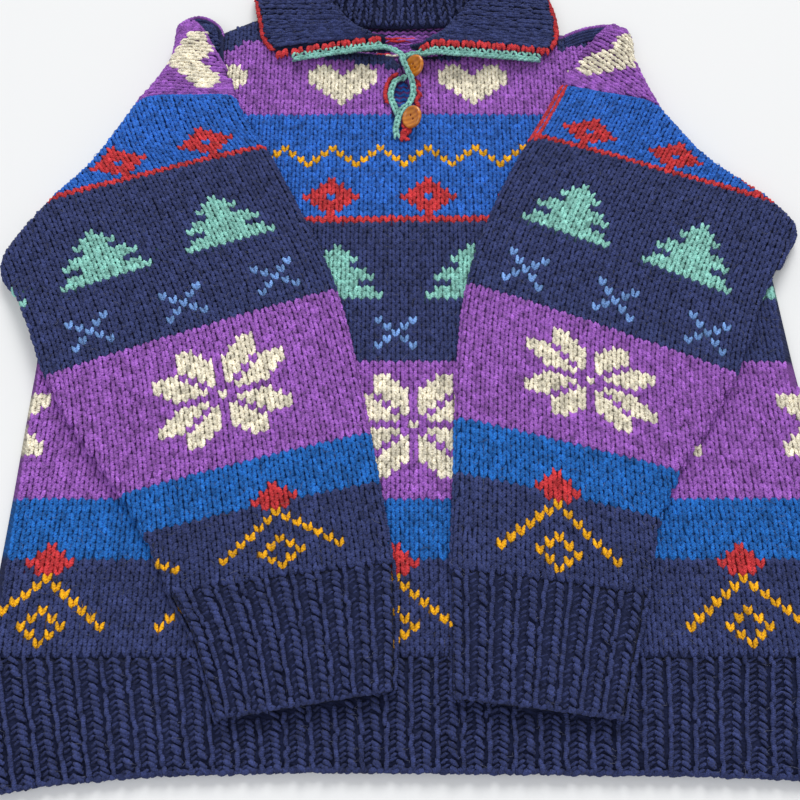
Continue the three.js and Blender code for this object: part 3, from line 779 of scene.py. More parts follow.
def cast_on(surface, c0, c1, every):
    """The cast-on edge: slanting strokes one after another along row 0, rounding the edge."""
    c = np.arange(c0, c1, every)
    n = len(c)
    across = c[:, None] + every * np.array([-0.65, -0.4, 0.0, 0.4, 0.65])
    up = uneven(n, 0.05) + [-0.25, -0.10, 0.0, 0.10, 0.25]
    path, normal = on_cloth(surface, across, up, [-1.4, -0.6, -0.3, -0.6, -1.4])
    size = 1 + uneven(n, 0.07)
    return [spun(path, normal, size * [1.7, 2.0, 1.7], size * [1.6, 1.9, 1.6], "N")]


def hem_surface(level):
    """A hem rib's upper face, waved by its ribs."""
    def surface(c, r):
        x, y = hem_place(c, r)
        return np.stack([x, y, level + 2.6 + rib_wave(c, HEM_RIB) + 0.3 * relief(x, y)], axis=-1)
    return surface


c, r = places(np.arange(-17, 18), np.arange(0, RIB_ROWS))
x, y = hem_place(c, r)
keep = (x > -283) & (x < 308)
for side in (-1, 1):
    keep &= ~within(x, y + 3, table_outline(SLEEVE[side], UNDER_CUFF))
hem_parts = rib_yarn(hem_surface(PITCH), c[keep], r[keep], HEM_RIB)
for level in (0.0, PITCH):
    hem_parts += cast_on(hem_surface(level), -284 / REPEAT, 318 / REPEAT, CAST_ON / REPEAT)
hem_yarn = yarn_piece("hem_rib_stitches", hem_parts)

# ---------------------------------------------------------------- sleeves
# Each sleeve is a flat tube folded over the front. Down to its outer corner both layers turn
# round the fold to the table; below it they end side by side at the underarm seam.

SLEEVE_CROWN = 3.0  # the middle of the tube is a little full


def table_row(table, station):
    """Edges and turn of a folded tube at a station: inner x, y, outer x, y and radius."""
    return through(station, table[:, 0], table[:, 1:])


def tube_width(table, station):
    """Width of a folded tube at a station, from edge to edge."""
    row = table_row(table, station)
    return np.hypot(row[..., 0] - row[..., 2], row[..., 1] - row[..., 3])


def folded(table, station, s, crown):
    """Point on the outer face of a folded tube: station runs along the table, s is the way over
    the cloth from the inner edge's top. The section is a flat top, a half turn of radius HALF
    down the inner edge, and a half turn of the table's radius round the outer fold."""
    row = table_row(table, station)
    inner, outer, turn = row[..., 0:2], row[..., 2:4], np.interp(station, table[:, 0], table[:, 5])
    along = outer - inner
    width = np.linalg.norm(along, axis=-1)
    along /= width[..., None]
    flat = width - HALF - turn
    low = 2 * PITCH * (1 - ease((turn - HALF) / 3))  # where the outer turn ends below
    high = low + 2 * turn
    before, after = np.clip(-s, 0, None), np.clip(s - flat, 0, None)
    a, b = np.minimum(before / HALF, math.pi), np.minimum(after / turn, math.pi)
    u = HALF + np.clip(s, 0, flat) - HALF * np.sin(a) + turn * np.sin(b)
    u += np.clip(before - math.pi * HALF, 0, None) - np.clip(after - math.pi * turn, 0, None)
    top = SLEEVE_TOP + (high - SLEEVE_TOP) * ease(1 - (flat - s) / 45)
    z = np.where(s < 0, SLEEVE_TOP, top) - HALF * (1 - np.cos(a)) - turn * (1 - np.cos(b))
    z = z + crown * np.sin(math.pi * np.clip(s / flat, 0, 1)) ** 0.7
    plan = inner + along * u[..., None]
    z = z + 0.6 * relief(plan[..., 0], plan[..., 1]) * np.clip((z - 5) / 8, 0, 1)
    return np.concatenate([plan, z[..., None]], axis=-1)


def sleeve_surface(side):
    """Surface of a sleeve by column, counted from the inner edge and negative on the left, and
    row, counted up from the cuff's edge."""
    def surface(c, r):
        return folded(SLEEVE[side], SLEEVE_ROWS - 1 - r, side * c * STITCH, SLEEVE_CROWN)
    return surface


def sleeve_width(side, r):
    """Width of a sleeve at row r."""
    return tube_width(SLEEVE[side], SLEEVE_ROWS - 1 - r)


def sleeve_fold(side, r):
    """Flat width between the turns of a sleeve at row r, and the outer turn's radius."""
    turn = np.interp(SLEEVE_ROWS - 1 - r, SLEEVE[side][:, 0], SLEEVE[side][:, 5])
    return sleeve_width(side, r) - HALF - turn, turn


def cloth_sheet(name, surface, c, r, levels, dye, columns=1):
    """A sheet along a surface, from one level off it to another; columns is how many columns of
    the texture go on one of c."""
    face, back = (on_cloth(surface, c, r, level)[0] for level in levels)
    return sheet_piece(name, face, back, dye, np.stack([columns * c, r], axis=-1))


CLOTH_LEVELS = (-0.7, -3.5)  # of a sheet below the upper face of its cloth
CUFF_ROWS = 17


def sleeve_sheet(name, side, r0, r1, steps, field):
    """A sleeve or a cuff as a thin closed sheet bent into a tube: its two ends meet in the middle
    of the underside. Where the outer turn is wide they lie 0.8 of the flat width from the inner
    turn and 10 mm past the outer one."""
    r = np.linspace(r0, r1, steps)
    over, turn = sleeve_fold(side, r)
    wide_turn = turn > HALF + 0.1
    s0 = -(np.pi * HALF + over * np.where(wide_turn, 0.8, 0.5))
    s1 = over + np.pi * turn + np.where(wide_turn, 10, 0.5 * over)
    s = s0[:, None] + np.linspace(0, 1, 65) * (s1 - s0)[:, None]
    c, r = np.broadcast_arrays(side * s / STITCH, r[:, None])
    if side < 0:
        c, r = c[:, ::-1], r[:, ::-1]
    # A cuff's ground is darkened like the hem's: painted shade in its hollows.
    dye = (1 if r1 > CUFF_ROWS else RIB_GROUND_PAINTED_SHADE) * dyed(letter_at(field, np.abs(c), r))
    return cloth_sheet(name, sleeve_surface(side), c, r, CLOTH_LEVELS, dye)


def length_along(points):
    """Length of a line of points up to each of them."""
    return np.concatenate([[0], np.cumsum(np.linalg.norm(np.diff(points, axis=0), axis=1))])


def seam_roll(points, letter):
    """Overlapping strokes along a line of points, as the rolled edge of knitting shows."""
    way = length_along(points)
    at = np.arange(1.5, way[-1] - 1, 3.2)
    path = through(at[:, None] + [-3.4, -1.9, 0, 1.9, 3.4], way, points)
    path[..., 2] += [-0.9, 0.2, 0.5, 0.2, -0.9]
    up = np.tile([0.0, 0.0, 1.0], (len(at), 5, 1))
    return spun(path, up, [1.5, 1.7, 1.5], [1.5, 1.7, 1.5], letter)


def sleeve_stitches(side, name):
    """Stitches of a sleeve over the top and part way down round both edges, where the darkened ground below
    them shows as a painted shadow line.
    """
    surface = sleeve_surface(side)
    c, r = stitch_places(-3, SLEEVE_COLUMNS, CUFF_ROWS, SLEEVE_ROWS - 1)
    over, turn = sleeve_fold(side, r)
    # The stitches stop half way round the narrow outer turns and part way round the inner edge, so the
    # darkened ground there shows as a painted shadow line.
    reach = (over + np.pi * np.where(turn < HALF + 0.1, 0.5, 0.62) * turn) / STITCH
    keep = (c > -1.2) & (c < reach)
    c, r = c[keep], r[keep]
    parts = stocking_stitch(surface, side * c, r, letter_at(sleeve_field, c, r))
    # The armhole seam is rolled, and on the right its red yarn goes on down the inner edge.
    last = SLEEVE_ROWS - 1.0
    along = np.linspace(0.2, sleeve_width(side, np.array(last)) / STITCH - 2, 14)
    parts.append(seam_roll(surface(side * along, 0 * along + last), "B"))
    if side > 0:
        down = np.linspace(last, 84, 10)
        for column in (0.0, -0.45, -0.9):
            parts.append(seam_roll(on_cloth(surface, 0 * down + column, down, 1.3)[0], "R"))
    return yarn_piece(name, parts)


CUFF_REPEAT = 18.0  # one repeat of its rib at the top of the cuff
CUFF_ROW = 0.80  # rows of the rib are lower than the sleeve's


def cuff_surface(side):
    """The sleeve's surface by repeat of the rib and row, waved by the cuff's ribs."""
    base = sleeve_surface(side)

    def surface(c, r):
        narrowing = sleeve_width(side, r) / sleeve_width(side, np.array(CUFF_ROWS))
        return on_cloth(base, c * CUFF_REPEAT / STITCH * narrowing, r, rib_wave(c, CUFF_RIB) - 0.4)[0]
    return surface


def cuff_stitches(side, name):
    """The cuff's ribbing over its top and round both edges."""
    surface = cuff_surface(side)
    c, r = places(np.arange(-1, 11), np.arange(0, CUFF_ROWS, CUFF_ROW))
    reach = (sleeve_width(side, np.array(CUFF_ROWS)) - 2 * HALF + np.pi * 0.7 * HALF) / CUFF_REPEAT
    keep = c < reach + (0.7 if side < 0 else 0)
    parts = rib_yarn(surface, side * c[keep], r[keep], CUFF_RIB, CUFF_ROW)
    parts += cast_on(surface, *sorted((side * -0.3, side * reach)), CAST_ON / CUFF_REPEAT)
    return yarn_piece(name, parts)


cuff_field = np.array([["N"]])  # navy all over
for side, word in SIDE_NAME.items():
    knit = sleeve_sheet(f"{word}_sleeve_knit", side, CUFF_ROWS, SLEEVE_ROWS - 1.3, 84, sleeve_field)
    knit_yarn = sleeve_stitches(side, f"{word}_sleeve_stitches")
    cuff = sleeve_sheet(f"{word}_cuff_ribbing", side, 0, CUFF_ROWS - 0.1, 18, cuff_field)
    cuff_yarn = cuff_stitches(side, f"{word}_cuff_stitches")
    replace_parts(knit, f"sleeve_{word}")
    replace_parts(cuff, f"cuff_{word}")

# ---------------------------------------------------------------- folded corners
# Beside the neck the back's upper corners come over with the sleeves. Their columns run across,
# from the fold to the shoulder seam, so the yoke's figures lie on their side there.

CORNER_LONG = 100.0  # from the shoulder end to the armhole seam
# The upper layer's shoulder end is turned back on the left: how far its edge lies from the
# fold's inner edge, by station. The navy inside of the layer below shows in the open mouth.
MOUTH = {-1: [(0, 24), (0.8, 21), (1.5, 14), (2.0, 7), (2.5, 2), (2.9, 0), (4, 0)], 1: [(0, 0), (4, 0)]}
# Rolled edges of the shoulder seam: the far one, above the mouth on the left, and its like.
LIP = {
    -1: [(-196, 643, 20), (-191, 649, 18), (-184, 653.5, 16), (-176, 653, 15), (-168, 648, 14.5),
         (-162, 640, 14), (-160, 632, 13)],
    1: [(150, 636, 11), (158, 640, 11.5), (167, 643, 12.5), (177, 644, 14), (187, 643.5, 16),
        (196, 641, 18)],
}
COLUMN_TURN = {-1: 0.0, 1: 0.6}  # radians that the columns run down from level
HEART_ROW = {-1: 12, 1: 17}  # lowest row of the corner's heart in its field
CORNER_FIELD = (34, 22)  # rows and columns
CORNER_FIRST_ROW = -21  # row of the corner that is the field's first


def turned_grid(side, c, r):
    """Column and row on the corner's straight grid of a place on the turned one."""
    across, along = c * STITCH, -r * ROW
    cos, sin = math.cos(COLUMN_TURN[side]), math.sin(COLUMN_TURN[side])
    return (across * cos - along * sin) / STITCH, -(along * cos + across * sin) / ROW


def corner_station(side, c):
    """Station of column c in the corner's table."""
    way = c * STITCH / CORNER_LONG * 4
    return way if side < 0 else 4 - way


def corner_surface(side, depth):
    """Surface of a folded corner, depth below its outer face: its columns run from the fold
    (rows below 0) to the shoulder seam (row 0), and its columns are counted from the shoulder
    end on the left corner and from the armhole on the right one."""
    def outer(c, r):
        return folded(CORNER[side], corner_station(side, c), -r * ROW, 0.0)
    return (lambda c, r: on_cloth(outer, c, r, -depth)[0]) if depth else outer


def mouth_row(side, c):
    """The row where the upper layer ends at column c."""
    return -np.interp(corner_station(side, c), *np.array(MOUTH[side]).T) / ROW


def corner_sheet(side, name, depth, reach, letter):
    """One layer of a folded corner as a thin closed sheet that reaches so many rows down."""
    c, share = np.meshgrid(np.linspace(0, CORNER_LONG / STITCH, 20), np.linspace(0, 1, 40))
    last = mouth_row(side, c) if depth == 0 else 0 * c
    r = -reach + share * (last + 0.6 + reach)
    dye = dyed(np.full(c.shape, letter))
    return cloth_sheet(name, corner_surface(side, depth), c, r, CLOTH_LEVELS, dye)


def corner_stitches(side, name):
    """Stitches of the upper layer, and on the left those of the lower one in the open mouth."""
    plain = corner_surface(side, 0)

    def surface(c, r):
        return plain(*turned_grid(side, c, r))

    c, r = stitch_places(0, CORNER_FIELD[1], CORNER_FIRST_ROW + 1, 12)
    way, over = turned_grid(side, c, r)
    station = corner_station(side, way)
    turn = table_row(CORNER[side], station)[:, 4]
    reach = (tube_width(CORNER[side], station) - turn + np.pi * 0.6 * turn) / ROW
    upper = (over > -reach) & (over <= mouth_row(side, way)) & (way > 0) & (way < CORNER_LONG / STITCH)
    field = np.full(CORNER_FIELD, "P")
    stamp(field, HEART, 4, HEART_ROW[side])
    letters = letter_at(field, c[upper], r[upper] - CORNER_FIRST_ROW)
    parts = stocking_stitch(surface, c[upper], r[upper], letters)
    if side < 0:
        lower = (r > mouth_row(side, c) - 2) & (r < 1) & (c < 6)
        parts += stocking_stitch(corner_surface(side, PITCH), c[lower], r[lower], np.full(lower.sum(), "N"))
        near_c = np.linspace(0.2, 9.5, 10)
        parts.append(seam_roll(plain(near_c, mouth_row(side, near_c) + 0.8), "P"))
    for k in range(5):  # rows of the rolled edge, each lower down
        parts.append(seam_roll(np.array(LIP[side], float) - [0, 2.7 * k, 0.8 * k], "N" if k else "P"))
    return yarn_piece(name, parts)


for side, word in SIDE_NAME.items():
    outer_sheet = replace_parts(corner_sheet(side, f"back_{word}_corner", 0.0, 17, "P"), "back_panel")
    inner_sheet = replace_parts(corner_sheet(side, f"front_{word}_corner", PITCH, 14, "N"), "front_panel")
    made = corner_stitches(side, f"back_{word}_corner_stitches")

# ---------------------------------------------------------------- collar
# A deep ribbed collar, knitted up from the neckline and folded over. Its ribs run from the
# neck over the crest to the free edge, so they lie across on the two flaps.

COLLAR = {
    -1: [(-8, 613, 15.5, -17, 623, 24, -112, 616, 13), (-32, 617, 12, -30, 624, 27.5, -121, 632, 12.5),
         (-60, 619, 12, -45, 633, 29, -125, 650, 13), (-82, 634, 12, -59, 651, 30.5, -129, 671, 13),
         (-91, 650, 12, -75, 676, 32, -131, 694, 8), (-86, 657, 9, -72, 694, 33, -118, 720, 6.5),
         (-58, 652, 8, -48, 702, 33, -82, 741, 6.5), (-29, 650, 8, -24, 706, 33, -41, 752, 6.5)],
    0: [(0, 649, 8, 0, 707, 33, 0, 755, 6.5)],
    1: [(10, 616, 17, 32, 618, 25, 134, 620, 13), (32, 617, 12, 42, 625, 27.5, 139, 632, 12.5),
        (60, 619, 12, 52, 638, 29.5, 139.5, 649, 13), (82, 634, 12, 64, 656, 30.5, 136, 670, 13),
        (91, 646, 12, 77, 677, 32, 132, 692, 8), (86, 655, 9, 73, 694, 33, 118, 720, 6.5),
        (58, 652, 8, 48, 702, 33, 82, 741, 6.5), (29, 650, 8, 24, 706, 33, 41, 752, 6.5)],
}
collar_table = np.array(COLLAR[-1] + COLLAR[0] + COLLAR[1][::-1], float)
COLLAR_ROWS = 22
# Repeats of the rib from one section of the table to the next, from a front end to the back.
BETWEEN = np.array([1.45, 1.60, 1.65, 1.60, 0.75, 1.50, 1.50, 1.45])
COLLAR_REPEATS = int(2 * BETWEEN.sum())
COLLAR_WAY = np.concatenate([[0], np.cumsum(np.concatenate([BETWEEN, BETWEEN[::-1]]))]) / BETWEEN.sum() / 2


def collar_middle(along, across):
    """Middle of the collar's cloth: along runs from 0 at the left front end to 1 at the right,
    across from 0 at the neckline over the crest at one half to 1 at the free edge."""
    row = through(along, COLLAR_WAY, collar_table)
    neck, crest, edge = row[..., 0:3], row[..., 3:6], row[..., 6:9]
    stand = neck * [0.45, 0.45, 0.7] + crest * [0.55, 0.55, 0.3]
    flap = crest * 0.55 + edge * 0.45 + [0, 0, 1.5]
    t = across[..., None] * 4
    points = np.stack([neck, stand, crest, flap, edge])
    slopes = np.gradient(points, axis=0)
    middle = cubic(np.clip(t, 0, 1), points[0], points[1], slopes[0], slopes[1])
    for k in (1, 2, 3):
        beyond = cubic(np.clip(t - k, 0, 1), points[k], points[k + 1], slopes[k], slopes[k + 1])
        middle = np.where(t < k, middle, beyond)
    return middle


COLLAR_ROW = 0.75  # rows of the rib are lower than the body's


def collar_plain(c, r):
    """The middle of the collar's cloth by repeat, from the left front end, and row."""
    return collar_middle((c + 0.5) / COLLAR_REPEATS, (r + 0.3) / COLLAR_ROWS)


def collar_surface(c, r):
    """The collar's inner face, which turns outwards at the crest, waved by its ribs."""
    return on_cloth(collar_plain, c, r, 0.9 + 0.6 * rib_wave(c, RELAXED))[0]


c, r = np.meshgrid(np.linspace(-0.5, COLLAR_REPEATS - 0.5, 115), np.linspace(-0.3, COLLAR_ROWS - 0.3, 35))
# The collar's ground is darkened too: painted shade between its ribs.
dye = RIB_GROUND_PAINTED_SHADE * dyed(np.full(c.shape, "N"))
collar_sheet = cloth_sheet("collar_ribbing", collar_plain, c, r, (0.2, -1.9), dye, 4)
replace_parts(collar_sheet, "collar")
c, r = places(np.arange(0, COLLAR_REPEATS), np.arange(0, COLLAR_ROWS - 0.6, COLLAR_ROW))
collar_parts = rib_yarn(collar_surface, c, r, RELAXED, COLLAR_ROW)
collar_yarn = yarn_piece("collar_stitches", collar_parts)

# ---------------------------------------------------------------- crochet edgings
# The collar's ends and free edge have a row of red crochet, worked over the edge in close
# slanting stitches. Outside it on the ends runs a mint row on little arches, and two mint
# chains go on down the slit, with a red row beside them that closes its foot.

CLUSTER = 13.4  # from one cluster of red strokes to the next


def along_line(points, every):
    """Places every so many millimetres along a smooth line, and three directions at each:
    along it, level out to its left, and up."""
    points = np.array(points, float)
    way = length_along(points)
    count = max(int(round(way[-1] / every)), 1)
    at = (np.arange(count) + 0.5) * way[-1] / count
    place, ahead = through(at, way, points), through(at + 0.5, way, points)
    along = (ahead - place) / np.linalg.norm(ahead - place, axis=1, keepdims=True)
    out = np.cross([0, 0, 1.0], along)
    out /= np.linalg.norm(out, axis=1, keepdims=True)
    return place, along, out, np.cross(along, out)


def strokes(line, shape, letter, wide, high=1.25, jitter=0.2):
    """One grain of yarn at each place of a line; shape holds five points as millimetres along,
    out and up."""
    place, along, out, up = line
    shape = np.array(shape, float) + jitter * chance.standard_normal((len(place), 1, 3))
    path = (place[:, None] + shape[..., 0:1] * along[:, None] + shape[..., 1:2] * out[:, None]
            + shape[..., 2:3] * up[:, None])
    rings = np.array([0.9, 1.0, 0.85])
    return spun(path, np.repeat(up[:, None], 5, axis=1), wide * rings, high * rings, letter)


def close_crochet(points, letter, reach):
    """A narrow row of close crochet: slanting strokes over the edge, as far out as reach."""
    line = along_line(points, 4.4)
    slant = [(-1.6, -1.1, -0.9), (-1.0, -0.6, 0.7), (0.0, 0.0, 1.2), (1.0, 0.6, 0.7), (1.6, 1.1, -0.9)]
    return [strokes(line, [(a + ahead, o * reach, u) for a, o, u in slant], letter, 1.6)
            for ahead in (0, 2.2)]


def shells(points, letter):
    """Clusters of four thick strokes that lean by turns, with a dark gap between."""
    line = along_line(points, CLUSTER)
    parts = []
    for k, at in enumerate((-4.3, -1.5, 1.4, 4.2)):
        lean = 1.1 if k % 2 else -0.9
        leaning = [(at - lean, -4.8, -0.9), (at - 0.6 * lean, -2.6, 1.2), (at, 0.0, 2.0),
                   (at + 0.6 * lean, 2.6, 1.2), (at + lean, 4.8, -0.9)]
        parts.append(strokes(line, leaning, letter, 1.95, 1.6, 0.35))
    return parts


def chain_crochet(points, letter):
    """A crochet chain: links of two legs that spread along the line, like a column of V."""
    line = along_line(points, 4.6)
    parts = []
    for hand in (-1, 1):
        leg = [(-1.6, 0.1 * hand, -0.6), (0.0, 0.7 * hand, 0.8), (2.2, 1.4 * hand, 1.1),
               (4.2, 1.8 * hand, 0.5), (5.8, 1.5 * hand, -0.9)]
        parts.append(strokes(line, leg, letter, 1.35, 1.35, 0.12))
    under = [(-3.0, 0.0, -1.4), (-1.5, 0.0, -1.1), (0.0, 0.0, -1.0), (1.5, 0.0, -1.1), (3.0, 0.0, -1.4)]
    return parts + [strokes(line, under, letter, 1.8, 1.2, 0.1)]


def arches(points, letter, hand):
    """Little arches from a chain across to the row beside it, on its left (hand 1) or right,
    each over a dark hole."""
    line = along_line(points, 7.2)
    rise = [(-3.5, 0.6, 0.0), (-2.8, 2.4, 0.7), (-1.9, 4.4, 1.0), (-0.9, 6.2, 0.8), (0.2, 8.0, -0.3)]
    fall = [(3.5, 0.6, 0.0), (2.8, 2.4, 0.6), (1.9, 4.4, 0.9), (1.0, 6.2, 0.7), (0.0, 7.8, -0.4)]
    return [strokes(line, [(a, hand * o, u) for a, o, u in leg], letter, 1.3, 1.2) for leg in (rise, fall)]


RED_REACH = 4.6  # middle of the red row outside the collar's ends
MINT_REACH = {-1: 13.0, 1: 15.5}  # and of the mint rows, across their little arches
EDGE_REACH = 1.6  # and of the narrow red row outside the free edge
RED_LEVEL = FRONT_TOP + 2.3  # the red row beside the slit lies on the front


def collar_end(side, reach):
    """The collar's front end from its stand over the crest to its corner, moved out by reach and
    less so on the stand."""
    across = np.linspace(0.48 if side < 0 else 0.12, 1, 8)
    out = reach * np.interp(across, [0.1, 0.55], [0.5, 1])
    end = collar_middle(np.full(8, 0.0 if side < 0 else 1.0), across)
    return end - out[:, None] * [0, 1, 0]


flap = collar_table[:, 6:9] - collar_table[:, 3:6]
free_edge = collar_table[:, 6:9] + EDGE_REACH * flap / np.linalg.norm(flap, axis=1, keepdims=True)
red_parts = close_crochet(free_edge, "R", 2.6)
red_parts += shells(collar_end(-1, RED_REACH), "R") + shells(collar_end(1, RED_REACH)[::-1], "R")
red_yarn = yarn_piece("collar_red_crochet", red_parts)
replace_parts(red_yarn, "collar_edging")

# The left chain comes over the right one at the top of the slit and runs down its right side to
# the foot; the right one dips under it and bows out to the left.
SLIT_ROWS = {
    -1: [(-8, 610.5, 21.5), (0.5, 605.5, 20.5), (3, 597, 21.5), (6, 588, 21), (10, 579, 17.5),
         (11.6, 569, 13.5), (8.2, 556.5, 12.8), (2, 548.5, 13.3), (-1.5, 539, 12.7), (-3.4, 529, 12.2),
         (-2.8, 521, 11.9)],
    1: [(10, 607.5, 18), (3, 604, 17.5)],
}
# Below the crossing the right row comes out again.
SLIT_BOW = [(6, 590, 12), (3.5, 586.5, 11.8), (-2.4, 583.3, 11.8), (-6.6, 575, 11.8),
            (-7.9, 565, 11.8), (-5.6, 555, 11.8), (-2.8, 547, 11.5)]
SLIT_RED = {
    "left": [(-1, 592), (-7, 587.5), (-11.7, 578), (-13, 567), (-11.5, 559)],
    "right": [(13, 586), (16.5, 580), (13.5, 574), (17, 568), (14, 562), (16, 555)],
    "beside the chain": [(4.2, 548), (3.4, 540), (3.2, 532)],
    "foot": [(0, 516), (4, 522), (8, 527), (4, 527), (2, 520), (6, 517)],
}
for side, word in SIDE_NAME.items():
    end = collar_end(side, MINT_REACH[side])
    if side > 0:  # it ends just before the collar's corner
        end[-1] = 0.7 * end[-1] + 0.3 * end[-2]
    end = (end[:-1] if side < 0 else end)[::-1]
    mint = chain_crochet(np.concatenate([end, SLIT_ROWS[side]]), "M") + arches(end, "M", -side)
    if side > 0:
        mint += chain_crochet(SLIT_BOW, "M")
    made = yarn_piece(f"{word}_mint_crochet", mint)
    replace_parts(made, f"mint_edging_{word}")

slit_red = []
for line in SLIT_RED.values():
    slit_red += close_crochet([(x, y, RED_LEVEL) for x, y in line], "R", 1.7)
made = yarn_piece("slit_red_crochet", slit_red)
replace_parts(made, "slit_edging")

# ---------------------------------------------------------------- inside of the back
# Through the neck and the slit the wrong side of the back shows: bars of purl across, with the
# yarn that is carried behind the figures lying loose over them.


def inside_surface(c, r):
    """The upper side of the back, which is its wrong side."""
    return np.stack([c * STITCH, r * ROW, np.full(np.shape(c), CLOTH - 1.2)], axis=-1)


BACK_HIGHER = 7  # rows that the back's bands lie above the front's
FLOATS = 26
c, r = stitch_places(-12, 12, 90, 115)
letters = body_letters(BACK_NECK, c * STITCH, (r - BACK_HIGHER + 0.5) * ROW)
bar_c = c[:, None] + [-0.62, -0.35, 0.0, 0.35, 0.62]
bar_r = r[:, None] + [0.3, 0.6, 0.85, 0.6, 0.3] + uneven(len(c), 0.06)
path, normal = on_cloth(inside_surface, bar_c, bar_r, [-0.8, 0.6, 1.1, 0.6, -0.8])
bars = grains(path, normal, [1.5, 1.75, 1.5], [1.1, 1.2, 1.1])
# Loose floats of the other colours, each over three to five stitches.
c, r = chance.uniform(-7, 7, FLOATS), chance.uniform(108, 112, FLOATS)
colours = chance.choice(list("CPPR"), FLOATS)
long = chance.uniform(1.4, 2.6, (FLOATS, 1))
float_c = c[:, None] + long * [-1.0, -0.5, 0.0, 0.5, 1.0]
float_r = r[:, None] + [0.0, 0.35, 0.1, 0.4, 0.0]
path, normal = on_cloth(inside_surface, float_c, float_r, [0.6, 2.2, 2.8, 2.2, 0.6])
floats = grains(path, normal, 1.1, 1.0)
purl = [(bars, heather(letters)), (floats, heather(colours))]
inside_yarn = yarn_piece("inside_of_the_back_purl", purl)

# ---------------------------------------------------------------- buttons
# Two turned wooden buttons with a raised rim and two holes, rubbed with oil. They hang from
# their thread beside the slit, one edge down on the front.

BUTTON_RADIUS, BUTTON_DEEP = 10.0, 4.5
BUTTON_TILT, BUTTON_TURN = -0.75, 0.45  # radians about the line of the slit, and seen from above

wood, tree, surface = finish_named("turned_oiled_wood", 0.30, Coat_Weight=0.45, Coat_Roughness=0.15)
place = node(tree, "TexCoord").outputs
# Faint growth rings about 4 mm apart, cut across, with fine pores.
rings = node(tree, "TexWave", {"Vector": place["Object"]}, wave_type="RINGS", rings_direction="X",
             Scale=75.0, Distortion=2.0, Detail=2.0)
grain = node(tree, "ValToRGB", {"Fac": rings.outputs[1]})
grain.color_ramp.elements[0].color = (*linear("#bd6a16"), 1)
grain.color_ramp.elements[1].color = (*linear("#d98423"), 1)
tree.links.new(grain.outputs[0], surface.inputs["Base Color"])
pores = node(tree, "TexNoise", {"Vector": place["Object"]}, Scale=900.0, Detail=2.0)
bump = node(tree, "Bump", {"Height": pores.outputs[0]}, Strength=0.25, Distance=0.2 * MM)
tree.links.new(bump.outputs[0], surface.inputs["Normal"])


def turned(profile, steps):
    """Points and faces of a profile of (radius, height) turned about its axis; its two ends lie
    on the axis."""
    turn = np.arange(steps) * 2 * math.pi / steps
    r, h = np.array(profile[1:-1], float).T
    r, h = r[:, None], h[:, None]
    ring = np.stack([r * np.cos(turn), r * np.sin(turn), h + 0 * turn], axis=-1)
    points = [(0, 0, profile[0][1])] + [tuple(p) for p in ring.reshape(-1, 3)] + [(0, 0, profile[-1][1])]
    top, faces = len(points) - 1, []
    for j in range(steps):
        k = (j + 1) % steps
        faces.append((0, 1 + k, 1 + j))
        for n in range(len(r) - 1):
            a, b = 1 + n * steps, 1 + (n + 1) * steps
            faces.append((a + j, a + k, b + k, b + j))
        faces.append((top, top - steps + j, top - steps + k))
    return points, faces


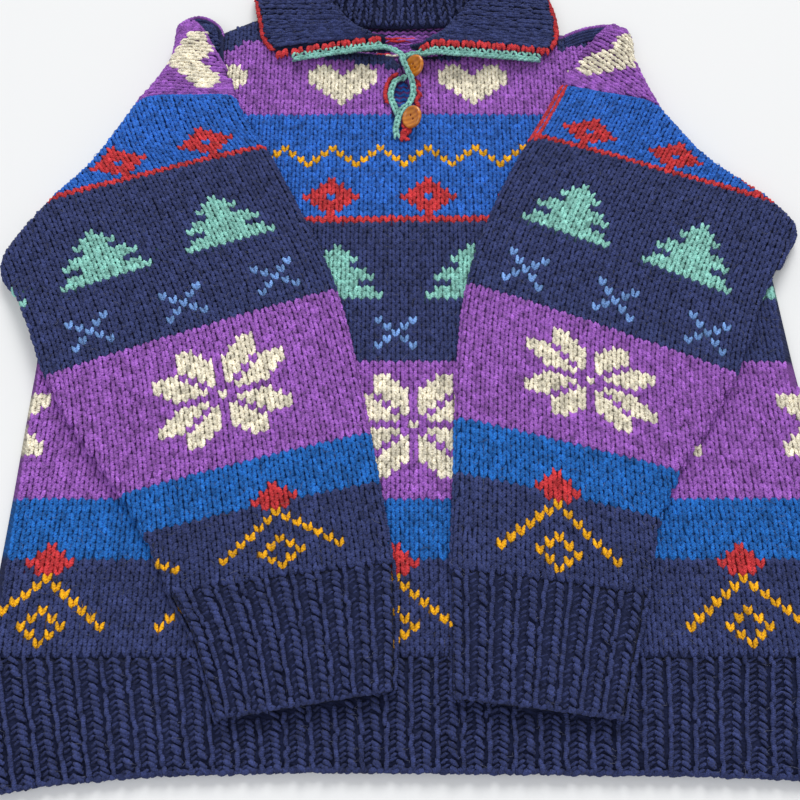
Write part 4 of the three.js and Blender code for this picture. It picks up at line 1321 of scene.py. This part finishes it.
# Radius and height in shares of the button's radius and half its depth.
PROFILE = [(0, -1), (0.55, -1), (0.8, -0.85), (0.95, -0.45), (1.0, 0.0), (0.98, 0.5), (0.92, 0.85),
           (0.84, 1), (0.76, 0.93), (0.68, 0.68), (0.6, 0.5), (0.4, 0.4), (0, 0.36)]
for name in ("button_upper", "button_lower"):
    points, faces = turned([(r * BUTTON_RADIUS, h * BUTTON_DEEP / 2) for r, h in PROFILE], 48)
    mesh = bpy.data.meshes.new(name)
    mesh.from_pydata(points, [], faces)
    mesh.polygons.foreach_set("use_smooth", [True] * len(faces))
    mesh.materials.append(wood)
    made = placed("wooden_" + name, mesh)
    for across in (-2.2, 2.2):  # a hole 2 mm wide on each side of the middle
        bpy.ops.mesh.primitive_cylinder_add(vertices=16, radius=1.0, depth=9, location=(0, across, 0))
        drill = bpy.context.object
        cut = made.modifiers.new("hole", "BOOLEAN")
        cut.object, cut.operation, cut.solver = drill, "DIFFERENCE", "EXACT"
        bpy.context.view_layer.objects.active = made
        bpy.ops.object.modifier_apply(modifier=cut.name)
        bpy.data.objects.remove(drill)
    low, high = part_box(name)
    middle = (np.array(low) + np.array(high)) / 2
    turned_over = Euler((0, BUTTON_TILT, BUTTON_TURN)).to_matrix()
    at = np.array([v.co for v in made.data.vertices]) @ np.array(turned_over).T
    made.data.vertices.foreach_set("co", (at * MM + middle).astype(np.float32).ravel())
    made.data.update()
    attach(made, "root")
    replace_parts(made, name)

# ---------------------------------------------------------------- floor, lights and camera
# The pullover lies on a plain pale table in soft light from a large window above it.

bpy.ops.mesh.primitive_plane_add(size=6, location=(0, 0, 0))
table_top = bpy.context.object
table_top.name = "table_top"
pale, _, surface = finish_named("pale_matt_table", 0.9)
surface.inputs["Base Color"].default_value = (*linear("#e9e9e7"), 1)
table_top.data.materials.append(pale)


def area_light(name, place, size, power, colour):
    """A square lamp that faces the middle of the pullover."""
    light = bpy.data.lights.new(name, "AREA")
    light.shape, light.size, light.energy = "SQUARE", size, power
    light.color = linear(colour)
    lamp = placed(name, light)
    lamp.location = x, y, z = place
    lamp.rotation_euler = (math.atan2(math.hypot(x, y), z), 0, math.atan2(x, -y))


area_light("window_light", (0.9, 4.5, 4.5), 3.0, 262, "#ffffff")
area_light("room_fill", (-0.5, -1.4, 2.2), 1.8, 22, "#f4f7ff")
world = bpy.data.worlds.new("soft_room")
bpy.context.scene.world = world
world.use_nodes = True
world.node_tree.nodes["Background"].inputs[0].default_value = (*linear("#f2f4f8"), 1)
world.node_tree.nodes["Background"].inputs[1].default_value = 0.55
bpy.context.scene.view_settings.view_transform = "Standard"

camera_data = bpy.data.cameras.new("camera")
camera_data.sensor_width, camera_data.lens = 36, 49.6
camera = placed("camera", camera_data)
camera.location = (-0.0015, -0.4776, 0.7589)
camera.rotation_euler = (math.radians(26.5), 0, 0)
bpy.context.scene.camera = camera
